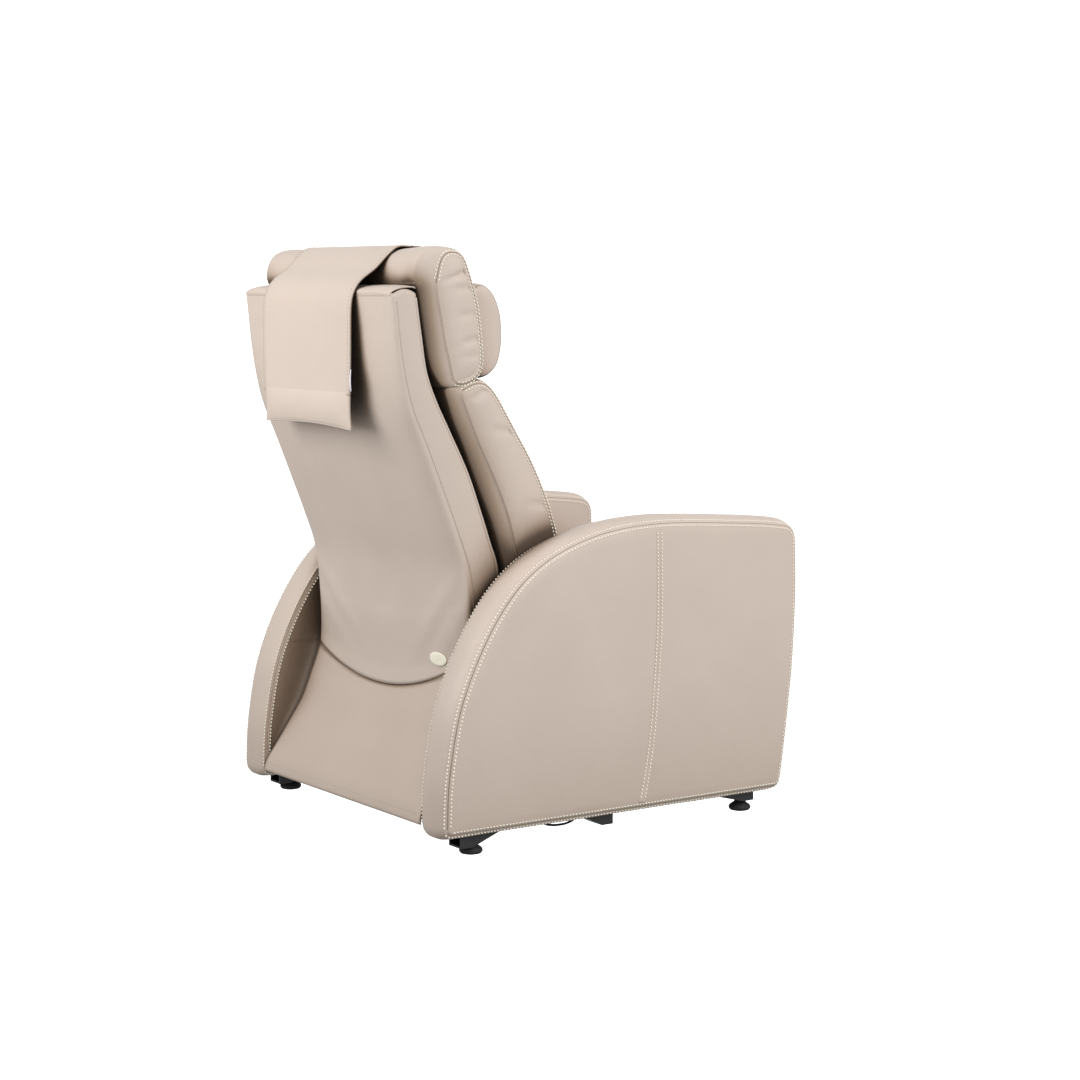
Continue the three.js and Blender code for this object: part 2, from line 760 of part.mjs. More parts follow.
function addRollerArm({ side, sign }) {
  const x = onSide(sign, [85, 91]);
  const reach = ROLLER_SPREAD;
  const bow = [
    [ROLLER_PIVOT + 9, CARRIAGE_AT - 9],
    [ROLLER_PIVOT + 9, CARRIAGE_AT + 9],
    [ROLLER_DEPTH + 8, CARRIAGE_AT + reach + 7],
    [ROLLER_DEPTH - 6, CARRIAGE_AT + reach + 6],
    [ROLLER_DEPTH - 6, CARRIAGE_AT + reach - 8],
    [ROLLER_PIVOT - 22, CARRIAGE_AT],
    [ROLLER_DEPTH - 6, CARRIAGE_AT - reach + 8],
    [ROLLER_DEPTH - 6, CARRIAGE_AT - reach - 6],
    [ROLLER_DEPTH + 8, CARRIAGE_AT - reach - 7],
  ];
  const hole = bar(
    PIN_RADIUS + RUNNING,
    [x[0] - 2, ROLLER_PIVOT, CARRIAGE_AT],
    [x[1] + 2, ROLLER_PIVOT, CARRIAGE_AT],
  );
  const axles = [-reach, reach].map((offset) => {
    const at = [ROLLER_DEPTH, CARRIAGE_AT + offset];
    return bar(4, [sign * 56, ...at], [sign * 90, ...at], 16);
  });
  piece(`roller_arm_${side}`, joined(cut(alongX(bow, ...x), hole), ...axles), BRIGHT_STEEL, back);
}

function addRoller({ side, sign }, place, offset) {
  const rim = [
    [4 + RUNNING, -13],
    [ROLLER_RADIUS - 5, -13],
    [ROLLER_RADIUS, -6],
    [ROLLER_RADIUS, 6],
    [ROLLER_RADIUS - 5, 13],
    [4 + RUNNING, 13],
    [4 + RUNNING, -13],
  ];
  const roller = turned(rim).rotateY(Math.PI / 2);
  roller.translate(sign * 70.5, ROLLER_DEPTH, CARRIAGE_AT + offset);
  piece(`massage_roller_${place}_${side}`, roller, BLACK_PLASTIC, back);
}

for (const arm of SIDES) {
  addRollerArm(arm);
  addRoller(arm, "upper", ROLLER_SPREAD);
  addRoller(arm, "lower", -ROLLER_SPREAD);
}

// ---- Actuators: each a housing with a motor at its side and a rod with a slotted eye ----

function reclineHousing() {
  const body = joined(
    bar(20, [0, -350, RECLINE_ROD_Z], [0, 60, RECLINE_ROD_Z]),
    box([-20, 72], [-319, -285], [170, 214]),
    bar(22, [48, -290, RECLINE_ROD_Z], [48, -190, RECLINE_ROD_Z]),
  );
  return cut(body, bar(10, [0, -115, RECLINE_ROD_Z], [0, 61, RECLINE_ROD_Z]));
}

function reclineRod() {
  const [pinY, pinZ] = RECLINE_PIN;
  const half = 13;
  const eye = box([-10, 10], [pinY - half, pinY + half], [174, 212]);
  const slot = box([-12, 12], [pinY - 6.2, pinY + 6.2], [183, 203]);
  return cut(joined(bar(9, [0, -35, RECLINE_ROD_Z], [0, pinY - 8, RECLINE_ROD_Z]), eye), slot);
}

piece("recline_actuator_housing", reclineHousing(), BLACK_PLASTIC);
piece("recline_actuator_rod", reclineRod(), BRIGHT_STEEL);

function tiltHousing() {
  const [x, y] = TILT_ROD;
  const foot = CROSS_Z[1] + GAP;
  const body = joined(
    bar(20, [x, y, 100], [x, y, 215]),
    box([x - 22, x + 68], [y - 20, y + 20], [foot, 122]),
    bar(18, [x + 46, y, 110], [x + 46, y, 200]),
  );
  return cut(body, bar(9, [x, y, 106], [x, y, 216]));
}

function tiltRod() {
  const [x, y] = TILT_ROD;
  const eye = box([x - 8, x + 8], [y - 19, y + 19], [285, 311]);
  const slot = box([x - 10, x + 10], [y - 12.5, y + 12.5], [291.5, 304.5]);
  return cut(joined(bar(8, [x, y, 112], [x, y, 290]), eye), slot);
}

piece("tilt_actuator_housing", tiltHousing(), BLACK_PLASTIC);
piece("tilt_actuator_rod", tiltRod(), BRIGHT_STEEL);

function legHousing() {
  const body = joined(
    bar(17, [0, -335, LEG_ROD_Z], [0, -75, LEG_ROD_Z]),
    box([-17, 62], [-105, -75], [288, 322]),
    bar(18, [42, -190, LEG_ROD_Z], [42, -95, LEG_ROD_Z]),
  );
  return cut(body, bar(8, [0, -336, LEG_ROD_Z], [0, -195, LEG_ROD_Z]));
}

function legRod() {
  const [pinY] = LEG_PIN;
  const eye = box([-9, 9], [pinY - 11, pinY + 11], [289, 329]);
  const slot = box([-11, 11], [pinY - 7, pinY + 7], [295, 323]);
  return cut(joined(bar(7, [0, pinY + 9, LEG_ROD_Z], [0, -205, LEG_ROD_Z]), eye), slot);
}

piece("legrest_actuator_housing", legHousing(), BLACK_PLASTIC);
piece("legrest_actuator_rod", legRod(), BRIGHT_STEEL);

export default chair;
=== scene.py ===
import json
import math

import bmesh
import bpy
import numpy as np
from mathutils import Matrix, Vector
from mathutils.bvhtree import BVHTree


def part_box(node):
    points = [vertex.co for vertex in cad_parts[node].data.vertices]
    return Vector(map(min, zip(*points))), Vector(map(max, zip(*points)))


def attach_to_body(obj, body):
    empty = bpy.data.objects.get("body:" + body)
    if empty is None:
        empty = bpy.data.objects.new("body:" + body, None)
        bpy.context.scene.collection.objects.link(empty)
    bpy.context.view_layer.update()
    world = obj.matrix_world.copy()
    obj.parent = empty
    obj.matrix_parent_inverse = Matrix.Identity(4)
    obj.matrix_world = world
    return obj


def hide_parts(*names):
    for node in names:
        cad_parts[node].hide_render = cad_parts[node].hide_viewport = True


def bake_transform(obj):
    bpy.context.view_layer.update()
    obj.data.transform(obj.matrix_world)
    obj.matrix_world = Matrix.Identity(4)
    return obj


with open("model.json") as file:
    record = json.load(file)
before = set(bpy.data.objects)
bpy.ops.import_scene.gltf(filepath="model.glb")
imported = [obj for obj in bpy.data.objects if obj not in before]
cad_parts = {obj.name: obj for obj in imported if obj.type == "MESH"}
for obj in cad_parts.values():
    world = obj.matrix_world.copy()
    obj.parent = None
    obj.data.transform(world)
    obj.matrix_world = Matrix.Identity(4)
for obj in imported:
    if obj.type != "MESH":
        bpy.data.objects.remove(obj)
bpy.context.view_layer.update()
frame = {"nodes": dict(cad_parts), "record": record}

# Shapes are worked out in millimetres, as [y, z] side outlines and x across the chair, and turned into
# metres when a mesh is made. The chair faces -Y and the sitter's left is +X.
MM = 0.001
UP = np.array([0.0, 0.0, 1.0])


def cad(node):
    """Lowest and highest corner of a CAD node, in millimetres."""
    low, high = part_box(node)
    return np.array(low) / MM, np.array(high) / MM


# ---- Outlines ----


def distances(points):
    """How far along a line each of its points is."""
    return np.r_[0, np.cumsum(np.linalg.norm(np.diff(points, axis=0), axis=1))]


def line_at(at, length, points):
    """Places on a line at given distances along it."""
    return np.stack([np.interp(at, length, points[:, k]) for k in range(points.shape[1])], axis=-1)


def unit(vectors):
    """The same vectors, each of length 1."""
    return vectors / np.linalg.norm(vectors, axis=-1, keepdims=True)


def circle(count, first, second):
    """Points of a circle whose radii are two directions."""
    turn = np.arange(count) * 2 * math.pi / count
    return np.outer(np.cos(turn), first) + np.outer(np.sin(turn), second)


def at_x(x, places):
    """[y, z] points as places in space, at one x or at one x each."""
    return np.column_stack([np.broadcast_to(x, len(places)), places])


def resample(points, step, closed=False):
    """The same line with points about step apart."""
    points = np.asarray(points, float)
    if closed:
        points = np.vstack([points, points[:1]])
    length = distances(points)
    count = max(3, int(round(length[-1] / step)))
    at = np.linspace(0, length[-1], count if closed else count + 1, endpoint=not closed)
    return line_at(at, length, points)


def through(points, step=4.0):
    """Smooth open line through the points."""
    points = np.asarray(points, float)
    ends = np.vstack([2 * points[0] - points[1], points, 2 * points[-1] - points[-2]])
    t = np.linspace(0, 1, 24, endpoint=False)[:, None]
    runs = []
    for a, b, c, d in zip(ends, ends[1:], ends[2:], ends[3:]):
        bend = 2 * a - 5 * b + 4 * c - d
        runs.append(0.5 * (2 * b + (c - a) * t + bend * t**2 + (3 * b - a - 3 * c + d) * t**3))
    return resample(np.vstack([*runs, points[-1:]]), step)


def trimmed(run, start, end):
    """Open line without its first and last stretch."""
    length = distances(run)
    keep = (length > start) & (length < length[-1] - end)
    return np.vstack([line_at(start, length, run), run[keep], line_at(length[-1] - end, length, run)])


def loop(runs, radii, step):
    """Closed outline of open runs, each corner between two runs rounded off by its radius."""
    t = np.linspace(0, 1, 10)[1:-1, None]
    pieces = []
    for i, run in enumerate(runs):
        following = runs[(i + 1) % len(runs)]
        start = trimmed(run, radii[i - 1], radii[i])
        onward = trimmed(following, radii[i], radii[(i + 1) % len(runs)])[0]
        corner = (run[-1] + following[0]) / 2
        pieces += [start, (1 - t) ** 2 * start[-1] + 2 * t * (1 - t) * corner + t**2 * onward]
    return resample(np.vstack(pieces), step, closed=True)


def outward(outline, smooth):
    """Outward normals of a closed outline, evened out around tight corners."""
    along = np.roll(outline, -1, axis=0) - np.roll(outline, 1, axis=0)
    x, y = outline[:, 0], outline[:, 1]
    turn = np.sign(np.sum(x * np.roll(y, -1) - np.roll(x, -1) * y))
    normal = np.stack([along[:, 1], -along[:, 0]], axis=1) * turn
    for _ in range(smooth):
        normal = unit(normal)
        normal = np.roll(normal, 1, axis=0) + normal + np.roll(normal, -1, axis=0)
    return unit(normal)


def uneven(a, b, size, seed):
    """Slow waves over a surface, about -1 to 1, for leather that isn't quite flat."""
    a, b = np.asarray(a) / size, np.asarray(b) / size
    waves = np.sin(a / 61 + seed) * np.cos(b / 83 - seed) + 0.6 * np.sin(a / 29 - b / 37 + 2 * seed)
    return (waves + 0.35 * np.cos(a / 15 + b / 19 + 3 * seed)) / 1.95


# ---- Meshes ----


def mesh_object(name, points, faces, material):
    """Object with one material, from points in millimetres."""
    mesh = bpy.data.meshes.new(name)
    mesh.from_pydata((np.asarray(points) * MM).tolist(), [], faces)
    mesh.validate()
    mesh.polygons.foreach_set("use_smooth", [True] * len(mesh.polygons))
    mesh.materials.append(material)
    made = bpy.data.objects.new(name, mesh)
    bpy.context.scene.collection.objects.link(made)
    return made


def signed_volume(points, faces):
    """Six times a closed mesh's volume, below zero where its faces are turned to point in."""
    total = 0.0
    for face in faces:
        a = points[face[0]]
        for b, c in zip(face[1:], face[2:]):
            total += np.dot(a, np.cross(points[b], points[c]))
    return total


def closed_object(name, points, faces, material):
    """Mesh of a closed surface, its faces turned to point out."""
    points = np.asarray(points, float)
    if signed_volume(points, faces) < 0:
        faces = [face[::-1] for face in faces]
    return mesh_object(name, points, faces, material)


def skin(name, rings, material):
    """Closed surface through closed rings of points, each end filled across with triangles."""
    count = len(rings[0])
    last = (len(rings) - 1) * count
    faces = []
    for first in range(0, last, count):
        for i in range(count):
            a, b = first + i, first + (i + 1) % count
            faces.append([a, b, count + b, count + a])
    faces.append(list(range(count - 1, -1, -1)))
    faces.append(list(range(last, last + count)))
    made = closed_object(name, np.vstack(rings), faces, material)
    work = bmesh.new()
    work.from_mesh(made.data)
    ends = [face for face in work.faces if len(face.verts) > 4]
    bmesh.ops.triangulate(work, faces=ends, ngon_method="BEAUTY")
    work.to_mesh(made.data)
    work.free()
    return made


def sheet(name, front, rear, material):
    """Closed sheet between two grids of points, joined around their rim."""
    rows, columns = front.shape[:2]
    size = rows * columns
    faces = []
    for r in range(rows - 1):
        for c in range(columns - 1):
            a, b = r * columns + c, (r + 1) * columns + c
            faces.append([a, a + 1, b + 1, b])
            faces.append([size + b, size + b + 1, size + a + 1, size + a])
    rim = [r * columns for r in range(rows)] + [(rows - 1) * columns + c for c in range(1, columns)]
    rim += [r * columns + columns - 1 for r in range(rows - 2, -1, -1)] + list(range(columns - 2, 0, -1))
    for a, b in zip(rim, rim[1:] + rim[:1]):
        faces.append([a, b, size + b, size + a])
    return closed_object(name, np.vstack([front.reshape(-1, 3), rear.reshape(-1, 3)]), faces, material)


def plate(name, grid, thickness, material):
    """Closed sheet around a grid of points, of even thickness."""
    normal = unit(np.cross(np.gradient(grid, axis=1), np.gradient(grid, axis=0)))
    return sheet(name, grid + normal * thickness / 2, grid - normal * thickness / 2, material)


def tube(name, path, radius, material, sides=8):
    """Round cord of leather along a line."""
    path = np.asarray(path, float)
    along = unit(np.gradient(path, axis=0))
    side = unit(np.cross(along, [0.31, 0.2, 0.93]))
    other = np.cross(along, side)
    rings = [p + radius * circle(sides, s, o) for p, s, o in zip(path, side, other)]
    return skin(name, rings, material)


def attach(piece, body):
    """Give a piece the body that it moves with."""
    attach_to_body(piece, body)
    return piece


def tree_of(piece):
    """Search tree of a piece's faces, for finding points on its surface."""
    points = [v.co.copy() for v in piece.data.vertices]
    return BVHTree.FromPolygons(points, [tuple(p.vertices) for p in piece.data.polygons])


RAY_START = 0.12


def land(tree, points, toward):
    """Where lines through the points, going toward a direction, first meet a surface, and its normals."""
    places, normals = [], []
    toward = np.broadcast_to(np.asarray(toward, float), points.shape)
    for point, way in zip(points, toward):
        way = Vector(way).normalized()
        start = Vector(point * MM) - way * RAY_START
        hit, normal, _, _ = tree.ray_cast(start, way)
        if hit is None:
            continue
        if normal.dot(way) > 0:
            normal = -normal
        places.append(np.array(hit) / MM)
        normals.append(np.array(normal))
    return np.array(places), np.array(normals)


# ---- Materials ----

# Painted shade: the browns that leather colour is darkened through where surfaces close in, and how far in
# metres the occlusion test reaches.
PAINTED_SHADE_BROWN = (0.310, 0.225, 0.160)
PAINTED_SHADE_DEEPEST = (0.080, 0.050, 0.030)
PAINTED_SHADE_REACH = 0.20


class Nodes:
    """Short way to build a material's node tree."""

    def __init__(self, name):
        self.material = bpy.data.materials.new(name)
        self.material.use_nodes = True
        self.tree = self.material.node_tree
        self.shader = self.tree.nodes["Principled BSDF"]
        self.place = self.add("ShaderNodeTexCoord").outputs["Object"]

    def add(self, kind, **values):
        node = self.tree.nodes.new(kind)
        for key, value in values.items():
            setattr(node, key, value)
        return node

    def link(self, output, target):
        self.tree.links.new(output, target)

    def fill(self, node, **inputs):
        """Give a node's inputs, each a number or the output of another node."""
        for key, value in inputs.items():
            target = node.inputs[key.replace("_", " ")]
            if isinstance(value, bpy.types.NodeSocket):
                self.link(value, target)
            else:
                target.default_value = value
        return node

    def noise(self, scale, detail=3.0):
        node = self.add("ShaderNodeTexNoise")
        return self.fill(node, Scale=scale, Detail=detail, Vector=self.place).outputs["Fac"]

    def cells(self, scale):
        node = self.add("ShaderNodeTexVoronoi", feature="DISTANCE_TO_EDGE")
        return self.fill(node, Scale=scale, Vector=self.place).outputs["Distance"]

    def bands(self, direction, scale, **inputs):
        node = self.add("ShaderNodeTexWave", wave_type="BANDS", bands_direction=direction)
        return self.fill(node, Scale=scale, Vector=self.place, **inputs).outputs["Fac"]

    def spread(self, value, low, high, start=0.3, end=0.7):
        """Map a value's range from start to end onto low to high."""
        node = self.add("ShaderNodeMapRange")
        inputs = {"From_Min": start, "From_Max": end, "To_Min": low, "To_Max": high}
        return self.fill(node, Value=value, **inputs).outputs["Result"]

    def tints(self, value, first, second):
        """Mix of two colours, each three numbers or the output of a node."""
        node = self.add("ShaderNodeMix", data_type="RGBA")
        first, second = ((*c, 1) if isinstance(c, tuple) else c for c in (first, second))
        return self.fill(node, Factor=value, A=first, B=second).outputs["Result"]

    def painted_crevice_shade(self, colour):
        """Painted shade: darken a colour through two browns where the surface is closed in, and where each
        point's recorded share says, standing in for the shade that falls in gaps.
        """
        node = self.fill(self.add("ShaderNodeAmbientOcclusion", samples=12), Distance=PAINTED_SHADE_REACH)
        painted_shade = self.add("ShaderNodeAttribute", attribute_name="painted_shade")
        clear = self.add("ShaderNodeMath", operation="SUBTRACT", use_clamp=True)
        self.link(self.spread(node.outputs["AO"], 0.0, 1.0, 0.32, 0.84), clear.inputs[0])
        self.link(painted_shade.outputs["Fac"], clear.inputs[1])
        share = clear.outputs["Value"]
        shade = self.tints(self.spread(share, 0.0, 1.0, 0.0, 0.5), PAINTED_SHADE_DEEPEST, PAINTED_SHADE_BROWN)
        return self.tints(self.spread(share, 0.0, 1.0, 0.5, 1.0), shade, colour)

    def bumps(self, *layers):
        """Bump from (height, distance in metres) layers, stacked."""
        below = {}
        for height, distance in layers:
            node = self.add("ShaderNodeBump")
            self.fill(node, Strength=1.0, Distance=distance, Height=height, **below)
            below = {"Normal": node.outputs["Normal"]}
        self.fill(self.shader, **below)

    def finish(self, **inputs):
        """Give the shader's inputs and return the material."""
        self.fill(self.shader, **inputs)
        return self.material


def leather(name, light, dark):
    """Smooth corrected-grain leather: fine pores, slow tone changes, a soft satin, and painted shade that
    darkens its colour in gaps.
    """
    n = Nodes(name)
    tone = n.tints(n.spread(n.noise(5.5, 2.0), 0.0, 1.0), light, dark)
    rough = n.spread(n.noise(38), 0.46, 0.60)
    pores = n.spread(n.cells(620), 0.0, 1.0, 0.0, 0.35)
    n.bumps((n.noise(14, 2.0), 0.0012), (n.noise(230), 0.00022), (pores, 0.00007))
    return n.finish(Base_Color=n.painted_crevice_shade(tone), Roughness=rough, Specular_IOR_Level=0.42, Sheen_Weight=0.08,
                    Sheen_Roughness=0.5)


def thread():
    n = Nodes("cream_thread")
    n.bumps((n.bands("DIAGONAL", 420), 0.00012))
    return n.finish(Base_Color=n.tints(n.noise(60), (1.0, 0.95, 0.82), (0.93, 0.87, 0.72)), Roughness=0.6,
                    Sheen_Weight=0.3)


def plain(name, first, second, tone, grain, relief, **inputs):
    """Two close tones, uneven roughness and a fine relief. grain is (scale, lowest, highest roughness)."""
    n = Nodes(name)
    if grain:
        inputs["Roughness"] = n.spread(n.noise(grain[0]), *grain[1:])
    n.bumps((n.noise(relief[0], 2.0), relief[1]))
    return n.finish(Base_Color=n.tints(n.noise(tone), first, second), **inputs)


def rubber(name, base):
    brighter = tuple(1.6 * c for c in base)
    return plain(name, base, brighter, 45, (200, 0.62, 0.78), (700, 0.00010), Specular_IOR_Level=0.4)


def moulded_plastic(name, base):
    n = Nodes(name)
    n.bumps((n.cells(1400), 0.00004))
    return n.finish(Base_Color=n.tints(n.noise(25), base, tuple(1.25 * c for c in base)),
                    Roughness=n.spread(n.noise(150), 0.42, 0.52), Specular_IOR_Level=0.5)


def steel():
    n = Nodes("bright_steel")
    stretch = n.fill(n.add("ShaderNodeMapping"), Scale=(400, 12, 400), Vector=n.place)
    grain = n.fill(n.add("ShaderNodeTexNoise"), Vector=stretch.outputs["Vector"]).outputs["Fac"]
    n.bumps((grain, 0.00003))
    return n.finish(Base_Color=n.tints(n.noise(18), (0.55, 0.56, 0.58), (0.47, 0.48, 0.50)),
                    Roughness=n.spread(grain, 0.22, 0.36), Metallic=1.0)


def plywood():
    n = Nodes("plywood")
    layers = n.bands("Z", 55, Distortion=3.0, Detail=3.0)
    n.bumps((layers, 0.0002))
    return n.finish(Base_Color=n.tints(layers, (0.52, 0.36, 0.20), (0.40, 0.26, 0.14)), Roughness=0.7)


LEATHER = leather("beige_leather", (0.600, 0.505, 0.440), (0.570, 0.480, 0.415))
THREAD = thread()
TONAL_THREAD = leather("tonal_thread", (0.560, 0.470, 0.400), (0.520, 0.430, 0.360))
BLACK_STEEL = plain("black_powder_coat", (0.010, 0.010, 0.011), (0.020, 0.020, 0.021), 30, (120, 0.38, 0.52),
                    (900, 0.00012), Specular_IOR_Level=0.5, Coat_Weight=0.15, Coat_Roughness=0.35)
RUBBER = rubber("foot_rubber", (0.012, 0.012, 0.012))
CABLE = rubber("cable_jacket", (0.008, 0.008, 0.008))
BLACK_PLASTIC = moulded_plastic("black_plastic", (0.012, 0.012, 0.012))
IVORY = moulded_plastic("ivory_plastic", (0.80, 0.77, 0.64))
STEEL = steel()
PLYWOOD = plywood()
LABEL = plain("satin_label", (0.80, 0.78, 0.82), (0.70, 0.68, 0.74), 90, None, (1500, 0.00006),
              Roughness=0.35, Sheen_Weight=0.4)
# Dark leather for the thin tubes that paint the shadow sunk in seams.
SEAM_SHADE = leather("seam_shade", (0.26, 0.20, 0.15), (0.22, 0.165, 0.12))

CAD_FINISH = {
    "black_steel": BLACK_STEEL,
    "bright_steel": STEEL,
    "black_plastic": BLACK_PLASTIC,
    "rubber": RUBBER,
    "cable": CABLE,
    "ivory_plastic": IVORY,
    "board": PLYWOOD,
    "arm_core": PLYWOOD,
    "leather": LEATHER,
    "cushion": LEATHER,
}


def finish_cad_nodes():
    """Give the CAD nodes that stay in sight the materials of their slots."""
    for row in frame["record"]["subparts"]:
        node = frame["nodes"][row["node"]]
        if not node.material_slots:
            continue
        node.material_slots[0].link = "OBJECT"
        node.material_slots[0].material = CAD_FINISH[row["material_slot"]]


finish_cad_nodes()


# ---- Stitching: each stitch is a short piece of thread lying on the leather ----

PITCH = 7.4
STITCH = 4.8
THREAD_RADIUS = 1.5
STITCH_SIDES = 6
# Position along a stitch, and its thickness there.
STITCH_SHAPE = [(-0.5, 0.25), (-0.36, 0.9), (0.0, 1.0), (0.36, 0.9), (0.5, 0.25)]

# Distances of the rows of stitches, and of the dark tube that paints a seam's shadow, from the seam's own
# ring.
ARM_ROW = 6.5
CUSHION_ROW = 4.6
VALLEY_ROW = 0.2
ROW_SEARCH = 9


def stitch_rings(points, normals, radius, length):
    """Rings of the stitches set along a line of surface points, five for each stitch."""
    along = distances(points)
    rings = []
    for at in np.arange(PITCH / 2, along[-1] - PITCH / 2, PITCH):
        before, beyond = line_at(at - 1.5, along, points), line_at(at + 1.5, along, points)
        way = unit(beyond - before)
        normal = line_at(at, along, normals)
        normal = unit(normal - way * normal.dot(way))
        section = circle(STITCH_SIDES, np.cross(way, normal), normal)
        middle = (before + beyond) / 2 + normal * radius * 0.45
        for place, width in STITCH_SHAPE:
            dip = normal * radius * (0.9 * (2 * place) ** 2)
            rings.append(middle + way * place * length - dip + section * radius * width)
    return rings


def stitches(name, rows, material=None, radius=THREAD_RADIUS, length=STITCH):
    """One object of all the stitches in rows of (points, normals)."""
    rings = [ring for row in rows for ring in stitch_rings(*row, radius, length)]
    sides, each = STITCH_SIDES, len(STITCH_SHAPE)
    faces = []
    for first in range(0, len(rings) * sides, each * sides):
        for r in range(each - 1):
            for i in range(sides):
                a, b = first + r * sides + i, first + r * sides + (i + 1) % sides
                faces.append([a, b, b + sides, a + sides])
        faces.append([first + i for i in reversed(range(sides))])
        faces.append([first + (each - 1) * sides + i for i in range(sides)])
    made = mesh_object(name, np.vstack(rings), faces, material or THREAD)
    return made


def from_seam(piece, count, half_rings, seam, outward_step, distance, keep):
    """Points and normals a set distance from a seam, measured over the surface of a ringed cushion. The seam
    is ring number seam from the middle; outward_step is 1 onto the side panel, -1 onto the boxing."""
    vertices = piece.data.vertices
    places = np.array([v.co[:] for v in vertices]).reshape(-1, count, 3) / MM
    normals = np.array([v.normal[:] for v in vertices]).reshape(-1, count, 3)
    rows = []
    for side in (1, -1):
        order = [half_rings - 1 + side * (seam + outward_step * k) for k in range(ROW_SEARCH)]
        spots, ways = [], []
        for column in keep:
            path = places[order, column]
            length = distances(path)
            spots.append(line_at(distance, length, path))
            ways.append(line_at(distance, length, normals[order, column]))
        rows.append((np.array(spots), np.array(ways)))
    return rows


def seam_shadow(name, line):
    """Thin dark tube sunk in a seam: painted shadow along its valley."""
    return tube(name, line, 0.7, SEAM_SHADE, sides=6)


# ---- Arms ----

ARM_INNER = cad("arm_inner_panel_left")[0][0]
ARM_OUTER = cad("arm_outer_panel_left")[1][0]
ARM_BOTTOM = cad("arm_core_left")[0][1]
ARM_MIDDLE = (ARM_INNER + ARM_OUTER) / 2
ARM_TOP_SEAM = [(390, 50), (383, 167), (351, 309), (276, 452), (183, 545), (50, 599), (-105, 616),
                (-306, 606), (-407, 597), (-462, 588)]
ARM_FRONT_SEAM = [(-462, 588), (-465, 440), (-456, 281), (-433, 96), (-424, 50)]
ARM_BOTTOM_EDGE = [(-424, 50), (390, 50)]
ARM_SIDE_SEAM = [(-107, 614), (-106, 416), (-96, 264), (-85, 162), (-65, 52)]
ARM_INNER_SEAM = np.column_stack([np.linspace(-20, 330, 60), np.full(60, 328.0)])

# Half section of the arm: distance in from the outer face, and height over the seam line.
ARM_BAND_SECTION = [(42.5, 12.5), (30, 12.0), (20, 10.2), (13, 7.6), (9, 5.4), (6.5, 3.9), (4.5, 3.2),
                    (3.0, 2.5), (1.8, 0.9), (0.9, -1.4)]
ARM_FACE_SECTION = [(0.0, -2.4), (-1.5, -3.2), (-2.5, -5), (-3.0, -7), (-3.2, -9.5), (-3.3, -13),
                    (-3.4, -18)]
# Middle [y, z] of an arm's side face, and half its size.
ARM_FACE_MIDDLE = (-30, 320)
ARM_FACE_HALF = (440, 300)
ARM_CORNER_RADII = [30, 14, 14]
ARM_FACE_SHRINK = [0.97, 0.94, 0.90, 0.85, 0.79, 0.72, 0.64, 0.55, 0.45, 0.34, 0.22, 0.10]


def arm_outline():
    runs = [through(ARM_TOP_SEAM), through(ARM_FRONT_SEAM), resample(ARM_BOTTOM_EDGE, 6)]
    return loop(runs, ARM_CORNER_RADII, 6.5)


def face_swell(y, z):
    """How far an arm's side face stands out between its seams."""
    across = np.clip(1 - ((y - ARM_FACE_MIDDLE[0]) / ARM_FACE_HALF[0]) ** 2, 0, 1)
    upward = np.clip(1 - ((z - ARM_FACE_MIDDLE[1]) / ARM_FACE_HALF[1]) ** 2, 0, 1)
    return 4.5 * np.sqrt(across * upward) + 0.7 * uneven(y, z, 1.4, 0.6)


def arm_half(outline, normal, edge, away, fullness):
    """Rings from the middle of the band out over one side face; away is the way that the face looks."""
    rings = []
    for depth, height in ARM_BAND_SECTION:
        ripple = 0.5 * uneven(outline[:, 0], outline[:, 1], 0.8, depth / 40)
        place = outline + normal * (height + ripple)[:, None]
        rings.append(at_x(edge - away * depth, place))
    for depth, height in ARM_FACE_SECTION:
        place = outline + normal * height
        fade = min(1.0, -height / 18)
        rings.append(at_x(edge - away * depth + away * fade * fullness * face_swell(*place.T), place))
    rim = rings[-1][:, 1:]
    centre = rim.mean(axis=0)
    for share in ARM_FACE_SHRINK:
        place = centre + (rim - centre) * share
        out = edge - away * ARM_FACE_SECTION[-1][0] + away * fullness * face_swell(*place.T)
        rings.append(at_x(out, place))
    return rings


def on_arm_face(tree, points, away):
    """Where [y, z] points lie on an arm's side face, and its normals; away is 1 on the outer face."""
    return land(tree, at_x(ARM_MIDDLE + away * 60, points), (-away, 0, 0))


def mirror(piece):
    """Move a finished left-hand mesh to the right arm."""
    piece.data.transform(((-1, 0, 0, 0), (0, 1, 0, 0), (0, 0, 1, 0), (0, 0, 0, 1)))
    piece.data.flip_normals()


def seam_strip(name, tree, line):
    """Two folded lips of leather along a seam across an arm's outer face, with a valley between them."""
    points, normals = on_arm_face(tree, line, 1)
    side = np.cross(normals, unit(np.gradient(points, axis=0)))
    lip = [(0.7, -0.1), (2, 0.8), (4.5, 1.0), (7, 0.5), (9, -0.8)]
    section = [(-d, h) for d, h in lip[::-1]] + [(0, -0.6)] + lip + [(6, -1.6), (-6, -1.6)]
    rings = [p + np.array([s * d + n * h for d, h in section]) for p, s, n in zip(points, side, normals)]
    return skin(name, rings, LEATHER)


